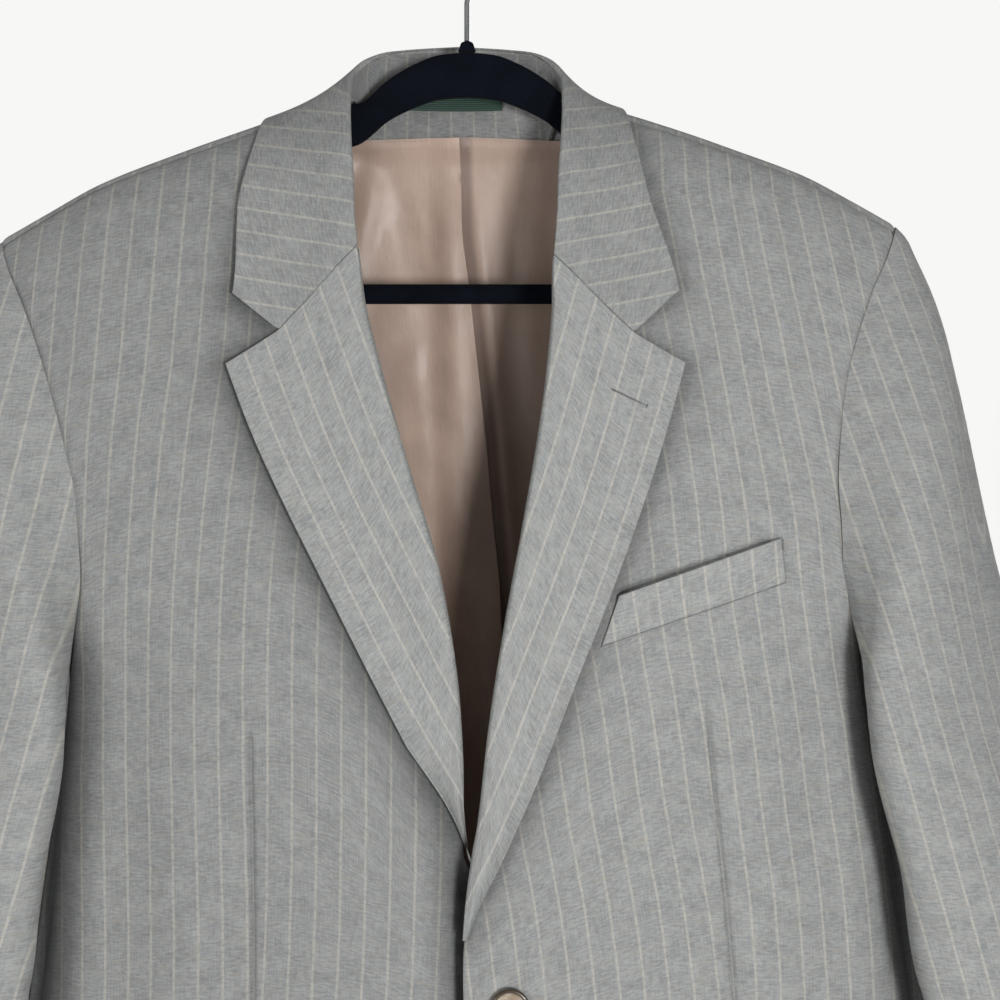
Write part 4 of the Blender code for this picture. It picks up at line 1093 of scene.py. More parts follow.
@dataclass(frozen=True)
class SatinLining:
    """Mauve-tan lining with a fine rib and a soft sheen, and painted shade beside the pleat and where the
    fronts shade it.
    """

    name: str = "mauve_lining"
    base: tuple = colour(0.640, 0.475, 0.385)
    shade: tuple = colour(0.500, 0.362, 0.292)
    # painted shadow colour for the strip beside the pleat's edge
    fold: tuple = colour(0.200, 0.140, 0.115)
    # painted shade colour for where the fronts shade the lining
    wear_and_painted_shade: tuple = colour(0.360, 0.262, 0.212)

    def make(self) -> bpy.types.Material:
        """Return the material.

        Returns:
            the material.
        """
        graph = FinishGraph(self.name)
        pattern = graph.pattern()
        cloud = graph.noise(pattern, (30.0, 22.0, 1.0), 3.0)
        rib = graph.noise(pattern, (1700.0, 60.0, 1.0), 2.0)
        tone = graph.remap(graph.plus(cloud, graph.times(rib, 0.35)), 0.45, 0.95)
        weave = graph.mix(tone, self.shade, self.base)
        from_pleat = graph.out("ShaderNodeSeparateXYZ", pattern)
        # painted shadow: a dark strip just beside the pleat's edge, on the wearer's left half
        pleat_edge_shadow = graph.times(graph.remap(from_pleat, -0.003, 0.0002),
                             graph.remap(from_pleat, 0.0035, 0.0090, 1.0, 0.0))
        # painted shade where the across coordinate passes 160 to 176 mm: the wearer's right half from about
        # 40 mm past the pleat's edge outward, the left half near its side
        weave = graph.mix(graph.remap(from_pleat, 0.160, 0.176, 0.0, 0.55), weave, self.wear_and_painted_shade)
        # painted shade over the wearer's left half, from about 2 to 112 mm beside the pleat's edge
        shadow_beside_pleat = graph.times(graph.remap(from_pleat, 0.002, 0.014, 0.0, 0.42),
                             graph.remap(from_pleat, 0.100, 0.112, 1.0, 0.0))
        weave = graph.mix(shadow_beside_pleat, weave, self.wear_and_painted_shade)
        base = graph.mix(graph.times(pleat_edge_shadow, 0.8), weave, self.fold)
        rumple = graph.noise(pattern, (52.0, 40.0, 1.0), 3.0)
        height = graph.plus(rumple, graph.times(rib, 0.04))
        return graph.finish(base, graph.remap(cloud, 0.3, 0.7, 0.36, 0.48), graph.bump(height, 0.0024, 0.38),
                            Sheen_Weight=0.25, Specular_IOR_Level=0.45)


@dataclass(frozen=True)
class LabelWeave:
    """Plain dark green ribbon with fine ribs."""

    name: str = "green_label"
    base: tuple = colour(0.012, 0.040, 0.028)
    light: tuple = colour(0.040, 0.095, 0.068)

    def make(self) -> bpy.types.Material:
        """Return the material.

        Returns:
            the material.
        """
        graph = FinishGraph(self.name)
        pattern = graph.pattern()
        rib = graph.add("ShaderNodeTexWave", named={"Vector": pattern, "Scale": 260.0, "Distortion": 0.6},
                        bands_direction="Y").outputs[1]
        fleck = graph.noise(pattern, (900.0, 900.0, 1.0), 2.0)
        base = graph.mix(graph.times(rib, fleck), self.base, self.light)
        return graph.finish(base, graph.remap(fleck, 0.2, 0.8, 0.5, 0.7), graph.bump(rib, 0.0002, 0.6))


@dataclass(frozen=True)
class HornButton:
    """Polished horn-coloured button, dark at the rim and pearly on its face."""

    name: str = "horn_button"
    rim: tuple = colour(0.060, 0.044, 0.026)
    face: tuple = colour(0.560, 0.480, 0.380)
    streak: tuple = colour(0.300, 0.225, 0.150)
    face_radius: float = 0.0084

    def make(self) -> bpy.types.Material:
        """Return the material.

        Returns:
            the material.
        """
        graph = FinishGraph(self.name)
        disc = graph.pattern()
        marble = graph.noise(graph.place(), (150.0, 150.0, 420.0), 4.0)
        face = graph.mix(graph.remap(marble, 0.38, 0.66), self.face, self.streak)
        radius = graph.out("ShaderNodeSeparateXYZ", disc)
        edge = graph.remap(radius, self.face_radius - 0.0007, self.face_radius + 0.0003)
        return graph.finish(graph.mix(edge, face, self.rim), graph.remap(marble, 0.3, 0.7, 0.16, 0.30),
                            graph.bump(marble, 0.0001, 0.3), Coat_Weight=0.6, Coat_Roughness=0.12)


@dataclass(frozen=True)
class Flock:
    """Black flocked coat of short fibres."""

    name: str = "black_flock"
    base: tuple = colour(0.0026, 0.0037, 0.0066)
    light: tuple = colour(0.0085, 0.0110, 0.0170)

    def make(self) -> bpy.types.Material:
        """Return the material.

        Returns:
            the material.
        """
        graph = FinishGraph(self.name)
        at = graph.place()
        fibre, wear_and_painted_shade = graph.even_noise(at, 2600.0), graph.even_noise(at, 60.0, 3.0)
        tone = graph.times(fibre, graph.remap(wear_and_painted_shade, 0.3, 0.7, 0.5, 1.2))
        return graph.finish(graph.mix(tone, self.base, self.light), graph.remap(wear_and_painted_shade, 0.3, 0.7, 0.85, 1.0),
                            graph.bump(fibre, 0.0004, 0.8),
                            Sheen_Weight=0.03, Sheen_Roughness=0.35, Specular_IOR_Level=0.05)


@dataclass(frozen=True)
class PlatedWire:
    """Bright plated wire with faint drawing marks."""

    name: str = "chrome_wire"
    base: tuple = colour(0.72, 0.73, 0.75)
    mark: tuple = colour(0.50, 0.51, 0.53)

    def make(self) -> bpy.types.Material:
        """Return the material.

        Returns:
            the material.
        """
        graph = FinishGraph(self.name)
        drawn = graph.noise(graph.place(), (900.0, 900.0, 60.0), 3.0)
        base = graph.mix(graph.remap(drawn, 0.5, 0.75), self.base, self.mark)
        return graph.finish(base, graph.remap(drawn, 0.3, 0.7, 0.14, 0.34),
                            graph.bump(drawn, 0.00004, 0.4), Metallic=1.0)


@dataclass(frozen=True)
class SewingThread:
    """Twisted sewing thread in one dye."""

    name: str
    dye: tuple

    def make(self) -> bpy.types.Material:
        """Return the material.

        Returns:
            the material.
        """
        graph = FinishGraph(self.name)
        twist = graph.even_noise(graph.place(), 2200.0)
        dark = colour(*(0.55 * part for part in self.dye[:3]))
        return graph.finish(graph.mix(twist, dark, self.dye), graph.remap(twist, 0.3, 0.7, 0.6, 0.8),
                            graph.bump(twist, 0.0002, 0.6))


@dataclass(frozen=True)
class PaleFloor:
    """Matt pale floor."""

    name: str = "pale_floor"
    base: tuple = colour(0.80, 0.80, 0.79)
    light: tuple = colour(0.84, 0.84, 0.83)

    def make(self) -> bpy.types.Material:
        """Return the material.

        Returns:
            the material.
        """
        graph = FinishGraph(self.name)
        cloud = graph.even_noise(graph.place(), 3.0, 3.0)
        return graph.finish(graph.mix(cloud, self.base, self.light), graph.remap(cloud, 0.3, 0.7, 0.55, 0.7))


def made_once(finish: Callable[..., object], *values: object) -> bpy.types.Material:
    """Return a field whose value is the material of a finish."""
    return field(default_factory=lambda: finish(*values).make())


@dataclass
class Finishes:
    """Every material of the object, made once."""

    wool: bpy.types.Material = made_once(PinstripeWool)
    lining: bpy.types.Material = made_once(SatinLining)
    label: bpy.types.Material = made_once(LabelWeave)
    horn: bpy.types.Material = made_once(HornButton)
    flock: bpy.types.Material = made_once(Flock)
    wire: bpy.types.Material = made_once(PlatedWire)
    grey: bpy.types.Material = made_once(SewingThread, "grey_thread", colour(0.10, 0.104, 0.104))
    mauve: bpy.types.Material = made_once(SewingThread, "mauve_thread", colour(0.56, 0.42, 0.34))
    green: bpy.types.Material = made_once(SewingThread, "green_thread", colour(0.03, 0.075, 0.05))


@dataclass
class Workroom:
    """What every sub-assembly needs: the form, the finishes and a way to hand pieces over."""

    form: GarmentForm
    finishes: Finishes

    def hand_over(self, piece: bpy.types.Object, nodes: Sequence[str], slot: str) -> None:
        """Let a piece ride on the body in place of its nodes, and report it.

        Args:
            piece: the finished piece.
            nodes: what it replaces.
            slot: its material slot; not used.
        """
        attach(piece, "root")
        if nodes:
            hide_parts(*nodes)
        LOG.info("%s: %d faces", piece.name, len(piece.data.polygons))

    def sew(self, node: str, grid: ClothGrid, slot: str, rests_on: Sequence[str],
            held: str = "hung") -> bpy.types.Object:
        """Build a cloth piece in place of its node.

        Args:
            node: the node that the piece replaces.
            grid: the piece's cloth.
            slot: the material slot, which is also the name of its finish.
            rests_on: what the cloth hangs from or is sewn to; not used.
            held: how it is held; not used.

        Returns:
            the piece.
        """
        # painted shade: add the piece's darkening for less light to its grid's shade
        grid.shade = grid.shade + PIECE_SHADES.get(node, OTHER_SHADE)
        piece = grid.build(node + "_cloth", self.form.place,
                           [getattr(self.finishes, slot), self.finishes.lining])
        self.hand_over(piece, [node], slot)
        return piece


# ---------------------------------------------------------------- fronts, sides and backs
@dataclass
class Stripes:
    """Where the pinstripes run on the two fronts and what is cut to match them."""

    over_stripe: float = 187.7
    under_stripe: float = 183.3
    over_takeup: float = 8.0
    under_takeup: float = 6.5

    def across(self, x: Array, z: Array, side: Side) -> Array:
        """Return the pattern coordinate across the stripes at places on a front.

        Args:
            x: distances toward the side, in mm.
            z: heights, in mm.
            side: the wearer's side.

        Returns:
            mm from a stripe.
        """
        over = side is Side.LEFT
        lean = SmoothCurve(STRIPE_LEAN, "z", "over" if over else "under")(z)
        take = (self.over_takeup if over else self.under_takeup) * ramp(z, -442.0, -642.0)
        dart = dart_x(side, z)
        inside = ease((dart - x) / 2.0 + 0.5)
        return x - lean - take * inside - (self.over_stripe if over else self.under_stripe)


def dart_x(side: Side, z: Array) -> Array:
    """Return where a front's dart runs, as a distance toward the side.

    Args:
        side: the wearer's side.
        z: heights, in mm.

    Returns:
        distances toward the side, in mm.
    """
    top, foot = OVER_DART if side is Side.LEFT else UNDER_DART
    share = np.clip((z - top.z) / (foot.z - top.z), 0.0, 1.0)
    return top.x + (foot.x - top.x) * share


@dataclass
class Fronts:
    """The two fronts, with their darts, rounded hem corners and pocket mouth."""

    room: Workroom
    stripes: Stripes
    cut_away_top: float = -715.0
    cut_away_width: float = 104.0
    roll_room: float = 3.0
    facing_width: float = 78.0
    dart_depth: float = 2.1
    dart_width: float = 1.4
    mouth_depth: float = 5.0
    welt_slope: float = 0.344
    # painted shade beside the lapels' edges, along the sleeves, in the dart and on the under front beside
    # the over front's edge
    over_leaf_shade: float = 0.36
    under_leaf_shade: float = 0.56
    leaf_shade_width: float = 11.0
    sleeve_shade: float = 0.56
    far_sleeve_shade: float = 0.20
    dart_shade: float = 0.05
    closing_shade: float = 0.70
    deepest_shade: float = 0.8
    unevenness: float = 0.35

    def edge(self, side: Side, z: Array) -> Array:
        """Return where a front's edge lies, with its rounded cut at the hem.

        Args:
            side: the wearer's side.
            z: heights, in mm.

        Returns:
            distances toward the side, in mm.
        """
        form = self.room.form
        curve = form.over_edge if side is Side.LEFT else form.under_edge
        drop = np.clip((self.cut_away_top - z) / (self.cut_away_top - form.hem_z + 1.0), 0.0, 1.0)
        return curve(z) + self.cut_away_width * (1.0 - np.sqrt(1.0 - drop**2))

    def room_for_roll(self, row: Array) -> Array:
        """Return how far the inner edge keeps back from the rolled edge of its lapel.

        Args:
            row: mm below the chest if negative, else a turn in degrees.

        Returns:
            distances, in mm.
        """
        form = self.room.form
        z = form.chest_z + np.minimum(row, 0.0)
        below_neck = ease((form.gorge_turn - row) / 8.0)
        return form.seam_gap + self.roll_room * ramp(z, -560.0, -510.0) * below_neck

    def dart_push(self, x: Array, z: Array, side: Side) -> Array:
        """Return the groove of a dart, which fades at its point.

        Args:
            x: distances toward the side, in mm.
            z: heights, in mm.
            side: the wearer's side.

        Returns:
            depths, in mm.
        """
        top = (OVER_DART if side is Side.LEFT else UNDER_DART)[0].z
        fade = ease((top + 7.0 - z) / 9.0) * ramp(z, -700.0, -692.0)
        return self.dart_depth * bell(x - dart_x(side, z), self.dart_width) * fade

    def mouth_push(self, x: Array, z: Array) -> Array:
        """Return the dip of the cloth behind the open top of the breast welt.

        Args:
            x: distances toward the side, in mm.
            z: heights, in mm.

        Returns:
            depths, in mm.
        """
        first, last = WELT_TOP
        along = (x - first.x) / (last.x - first.x)
        above = z - first.z - (last.z - first.z) * along
        inside = ramp(along, -0.02, 0.01) * ramp(along, 1.0, 0.97)
        out = np.clip(along, 0.0, 1.0)
        return self.mouth_depth * (1.0 - 0.35 * out) * inside * bell(above - 0.6, 2.5 - 1.2 * out)

    def shade(self, x: Array, z: Array, side: Side) -> Array:
        """Return the painted shade beside the lapel, the sleeve, the dart and the closing edge, where shadow
        falls.

        Args:
            x: distances toward the side, in mm.
            z: heights, in mm.
            side: the wearer's side.

        Returns:
            the shade, from 0 to 1.
        """
        over = side is Side.LEFT
        leaf = (*(OVER_LAPEL_EDGE if over else UNDER_LAPEL_EDGE), NOTCH, *COLLAR_SIDE)
        strength = self.over_leaf_shade if over else self.under_leaf_shade
        dark = strength * np.exp(-((away_from(x, z, leaf) / self.leaf_shade_width) ** 1.3))
        sleeve = away_from(x, z, SLEEVE_SIDE)
        dark = dark + self.sleeve_shade * bell(sleeve, 6.0) + self.far_sleeve_shade * bell(sleeve, 13.0)
        dark = dark + self.dart_shade * self.dart_push(x, z, side)
        if not over:
            from_edge = np.maximum(x - 5.2, 0.0)
            dark = dark + self.closing_shade * bell(from_edge, 5.5) * ramp(z, -500.0, -530.0)
        return np.clip(dark, 0.0, self.deepest_shade)

    def grid(self, side: Side) -> ClothGrid:
        """Return one front, from its closing edge to the side seam and armhole.

        Args:
            side: the wearer's side.

        Returns:
            the piece's cloth.
        """
        form = self.room.form
        sign, under, over = side.value, side is Side.RIGHT, side is Side.LEFT
        middle = (WELT_TOP[0].z + WELT_TOP[1].z) / 2.0
        row = form.panel_rows(Face.FRONT, form.shoulder_turn, [middle] if over else [])
        height = form.chest_z + np.minimum(row, 0.0)
        start = form.settle(lambda z: self.edge(side, z), row, Face.FRONT, sign) + self.room_for_roll(row)
        seam = form.side_seam_share * form.half_width(height) - form.seam_gap
        armhole = form.settle(form.armhole_front, row, Face.FRONT, sign) - form.seam_gap
        end = np.where(row <= 0, seam, armhole)
        level = form.body(np.full(row.shape, form.level_x * sign), row, Face.FRONT)[:, 2]
        x = spread(start, end, form.spacing, [dart_x(side, level)])
        rows = np.broadcast_to(row[:, None], x.shape)
        if over:
            z = form.body(x, rows, Face.FRONT)[..., 2]
            window = ramp(z, -440.0, -385.0) * ramp(z, -290.0, -335.0) * ramp(x, 222.0, 182.0)
            window = window * ramp(x, 30.0, 60.0)
            moved = z + self.welt_slope * (np.clip(x, 66.0, 182.0) - form.level_x) * window
            rows = np.where(window > 0, form.row_of_height(x, moved, Face.FRONT), rows)
        outer = form.body(sign * x, rows, Face.FRONT, under)
        z = outer[..., 2]
        push = crease_depth(SOFT_CREASES, Face.FRONT, sign * x, z) + self.dart_push(x, z, side)
        push = push + self.unevenness * uneven(x, z, 34.0, sign)
        if over:
            push = push + self.mouth_push(x, z)
        return ClothGrid(outer, form.normal(sign * x, rows, Face.FRONT, under), form.wool,
                         self.stripes.across(x, z, side), steps_along(outer, 0),
                         (Border.END, Border.HEAD), (Border.START, Border.FOOT), push,
                         lined=x > start[:, None] + self.facing_width, seam_depth=1.6,
                         seam_width=2.3, shade=self.shade(x, z, side))

    def build(self) -> None:
        """Build both fronts."""
        for node, side in (("front_over", Side.LEFT), ("front_under", Side.RIGHT)):
            self.room.sew(node, self.grid(side), "wool", ["hanger_arms_flocked"])


@dataclass
class Backs:
    """The two backs, joined by the centre-back seam."""

    room: Workroom
    last_turn: float = 99.8
    stripe_start: float = 6.5
    stripe_spread: float = 14.0
    lined_turn: float = 58.0
    unevenness: float = 0.4

    def columns(self, row: Array, sign: float) -> tuple[Array, Array]:
        """Return where one back starts and ends in each row.

        Args:
            row: mm below the chest if negative, else a turn in degrees.
            sign: 1 on the wearer's left, -1 on the right.

        Returns:
            the first and the last distance toward the side, in mm.
        """
        form = self.room.form
        neck = form.back_neck_x(180.0 - row)
        start = np.where(row < 180.0 - form.back_neck_turn, 0.0, neck) + form.seam_gap
        seam = form.side_seam_share * form.half_width(form.chest_z + np.minimum(row, 0.0)) - form.seam_gap
        armhole = form.settle(form.armhole_back, row, Face.BACK, sign) - form.seam_gap
        return start, np.where(row <= 0, seam, armhole)

    def grid(self, side: Side) -> ClothGrid:
        """Return one back, from the centre seam to its side seam and armhole.

        Args:
            side: the wearer's side.

        Returns:
            the piece's cloth.
        """
        form = self.room.form
        row = form.panel_rows(Face.BACK, self.last_turn)
        start, end = self.columns(row, side.value)
        x = spread(start, end, form.spacing)
        rows = np.broadcast_to(row[:, None], x.shape)
        outer = form.body(side.value * x, rows, Face.BACK)
        z = outer[..., 2]
        push = crease_depth(SOFT_CREASES, Face.BACK, side.value * x, z) * ramp(rows, 90.0, 70.0)
        push = push + self.unevenness * uneven(x, z, 36.0, side.value + 0.5)
        spread_out = self.stripe_spread * ramp(z, -330.0, -130.0) * ease(x / 120.0)
        across = x + spread_out - self.stripe_start
        return ClothGrid(outer, form.normal(side.value * x, rows, Face.BACK), form.wool, across,
                         steps_along(outer, 0), (Border.START, Border.END, Border.HEAD),
                         (Border.FOOT,), push, rows < self.lined_turn, 1.2, 2.0)

    def build(self) -> None:
        """Build both backs."""
        for side in Side:
            self.room.sew("back_" + side.name.lower(), self.grid(side), "wool", ["hanger_arms_flocked"])


@dataclass
class SidePanels:
    """The two side panels, scooped out under the arms."""

    room: Workroom
    underarm_drop: float = 19.0
    underarm_fade: float = 65.0
    columns: int = 30
    first_stripe: float = 9.0

    def points(self, side: Side, z: Array) -> Array:
        """Return the outer points of a side panel for rows of heights.

        Args:
            side: the wearer's side.
            z: heights, in mm.

        Returns:
            rows by columns by 3, in mm.
        """
        form = self.room.form
        limit = form.side_share - 0.002
        share = limit * np.sin(np.linspace(-math.pi / 2, math.pi / 2, self.columns))[None, :]
        scoop = self.underarm_drop * (1.0 - (share / limit) ** 2)
        height = z[:, None] - scoop * ease((z[:, None] - form.chest_z + self.underarm_fade)
                                           / self.underarm_fade)
        return form.side_point(np.broadcast_to(share, height.shape), height, side.value)

    def grid(self, side: Side) -> ClothGrid:
        """Return one side panel.

        Args:
            side: the wearer's side.

        Returns:
            the piece's cloth.
        """
        form = self.room.form
        z = form.hem_z + even_spread(form.chest_z - form.hem_z, form.spacing)
        outer = self.points(side, z)
        normals = grid_normals(outer, np.array([side.value, 0.0, 0.0]))
        across = steps_along(outer, 1) - self.first_stripe
        return ClothGrid(outer, normals, form.wool, across, steps_along(outer, 0),
                         (Border.START, Border.END, Border.HEAD), (Border.FOOT,),
                         lined=np.ones(outer.shape[:2], bool))

    def build(self) -> None:
        """Build both side panels."""
        self.room.sew("side_left", self.grid(Side.LEFT), "wool", ["front_over_cloth", "back_left_cloth"])
        self.room.sew("side_right", self.grid(Side.RIGHT), "wool", ["front_under_cloth", "back_right_cloth"])


# ---------------------------------------------------------------- lapels and collar
def notch_line(share: Array, start: Spot, end: Spot, rise: float | Array) -> tuple[Array, Array]:
    """Return x and z along a leaf's end, by way of the notch, with its start raised.

    Args:
        share: shares of the way out.
        start: the end at the fold.
        end: the end at the leaf's edge.
        rise: how much the start is raised, in mm.

    Returns:
        distances toward the side and heights, in mm.
    """
    knots = (0.0, 0.64, 1.0)
    x = np.interp(share, knots, (start.x, NOTCH.x, end.x))
    return x, np.interp(share, knots, (start.z, NOTCH.z, end.z)) + rise * (1.0 - share)


def leaf_lift(share: Array) -> Array:
    """Return how far a turned leaf's face stands off the panel that it lies on, in mm."""
    return LEAF_REST + LEAF_ROLL * bell(share - 0.1, 0.22) + LEAF_EDGE * share**4


def rolled_under(grid: ClothGrid, reach: Array, depth: Array, sweep: float, steps: int) -> ClothGrid:
    """Carry a leaf's first column on round a roll, so that its edge turns under.

    Args:
        grid: the leaf, whose first column lies on the roll's top.
        reach: how far the roll stands out past that column, by row, in mm.
        depth: half the roll's height, by row, in mm.
        sweep: how far round it goes, in degrees.
        steps: how many columns it takes.

    Returns:
        the leaf with its roll.
    """
    first, normal = grid.outer[:, :1], grid.normals[:, :1]
    past = unit(first - grid.outer[:, 1:2])
    past = unit(past - normal * np.sum(past * normal, axis=-1, keepdims=True))
    turn = np.radians(np.linspace(sweep, 0.0, steps + 1)[:-1])[None, :, None]
    out = past * reach[:, None, None] * np.sin(turn)
    roll = first + out - normal * depth[:, None, None] * (1.0 - np.cos(turn))
    facing = unit(normal * np.cos(turn) + past * np.sin(turn))
    lead = steps_along(np.concatenate([roll, first], axis=1), 1)
    lead = lead[:, :-1] - lead[:, -1:]
    slope = np.sign(grid.across[:, 1:2] - grid.across[:, :1])
    thick = np.broadcast_to(np.asarray(grid.thickness, float), grid.outer.shape[:2])
    push = np.zeros(grid.outer.shape[:2]) + grid.push
    pad = [(0, 0), (steps, 0)]
    return ClothGrid(
        np.concatenate([roll, grid.outer], axis=1), np.concatenate([facing, grid.normals], axis=1),
        np.pad(thick, pad, "edge"), np.concatenate([grid.across[:, :1] + slope * lead, grid.across], axis=1),
        np.pad(grid.along, pad, "edge"), grid.sewn, grid.turned, np.pad(push, pad, "edge"))


@dataclass
class Lapel:
    """One lapel, rolled back at the front's edge."""

    room: Workroom
    node: str
    side: Side
    lowest: float
    rows: Sequence[Spot]
    first_stripe: float
    stripe_step: float
    rise: float
    roll_reach: float = 3.0
    roll_depth: float = 4.4
    roll_sweep: float = 168.0
    unevenness: float = 0.35
    end_gap: float = 0.05

    def outline(self, down: Array, share: Array) -> tuple[Array, Array]:
        """Return x and z across the lapel, from its roll line to its outer edge.

        Args:
            down: shares of the way down the roll line, one for each row.
            share: shares of the way out, one for each column.

        Returns:
            distances toward the side and heights, rows by columns, in mm.
        """
        form = self.room.form
        roll_curve = form.over_edge if self.side is Side.LEFT else form.under_edge
        edge_curve = SmoothCurve(self.rows, "z", "x")
        tip = max(self.rows, key=lambda row: row.z)
        gorge = Spot(float(roll_curve(GORGE.z)), GORGE.z)
        down, share = down[:, None], share[None, :]
        roll_z = gorge.z + (self.lowest - gorge.z) * down
        edge_z = tip.z + (self.lowest + 0.5 - tip.z) * down
        x = roll_curve(roll_z) * (1.0 - share) + edge_curve(edge_z) * share
        z = roll_z * (1.0 - share) + edge_z * share
        top_x, top_z = notch_line(share, gorge, Spot(tip.x, tip.z), self.rise)
        fade = np.clip(1.0 - down / 0.2, 0.0, 1.0) ** 2
        return x + (top_x - x[0:1]) * fade, z + (top_z - z[0:1]) * fade - self.end_gap

    def edge_x(self, z: Array) -> Array:
        """Return the outer edge at a height, carried straight on above the tip.

        Args:
            z: heights, in mm.

        Returns:
            distances toward the side, in mm.
        """
        curve = SmoothCurve(self.rows, "z", "x")
        below, tip = sorted(self.rows, key=lambda row: row.z)[-2:]
        return curve(z) + (tip.x - below.x) / (tip.z - below.z) * np.maximum(z - tip.z, 0.0)

    def grid(self) -> ClothGrid:
        """Return the lapel's face with its roll.

        Returns:
            the piece's cloth.
        """
        form = self.room.form
        sign, under = self.side.value, self.side is Side.RIGHT
        length = GORGE.z - self.lowest
        down = even_spread(length, 4.0) / length
        share = even_spread(62.0, 2.6) / 62.0
        x, z = self.outline(down, share)
        narrow = ease((z[:, :1] - self.lowest) / 40.0)
        x = x + self.roll_reach * (1.0 - share) ** 3 * narrow * ramp(z[:, :1], -196.0, -226.0)
        lift = leaf_lift(share)[None, :] * (0.40 + 0.60 * narrow)
        lift = lift + self.unevenness * uneven(x, z, 30.0, 2.0 + sign) * narrow * share
        row = form.row_of_height(sign * x, z, Face.FRONT)
        outer = form.on_body(sign * x, z, Face.FRONT, lift, under)
        across = (self.edge_x(z) - x - self.first_stripe) * (PITCH / self.stripe_step)
        face = ClothGrid(outer, form.normal(sign * x, row, Face.FRONT, under),
                         form.leaf * (0.35 + 0.65 * narrow), across, steps_along(outer, 0),
                         turned=(Border.END, Border.FOOT, Border.HEAD))
        shrink = (0.2 + 0.8 * narrow)[:, 0]
        reach = self.roll_reach * shrink * (0.3 + 0.7 * ramp(z[:, 0], -196.0, -226.0))
        return rolled_under(face, reach, self.roll_depth * shrink, self.roll_sweep, 14)

    def build(self) -> None:
        """Build the lapel."""
        panel = "front_over_cloth" if self.side is Side.LEFT else "front_under_cloth"
        self.room.sew(self.node, self.grid(), "wool", [panel], "folded")


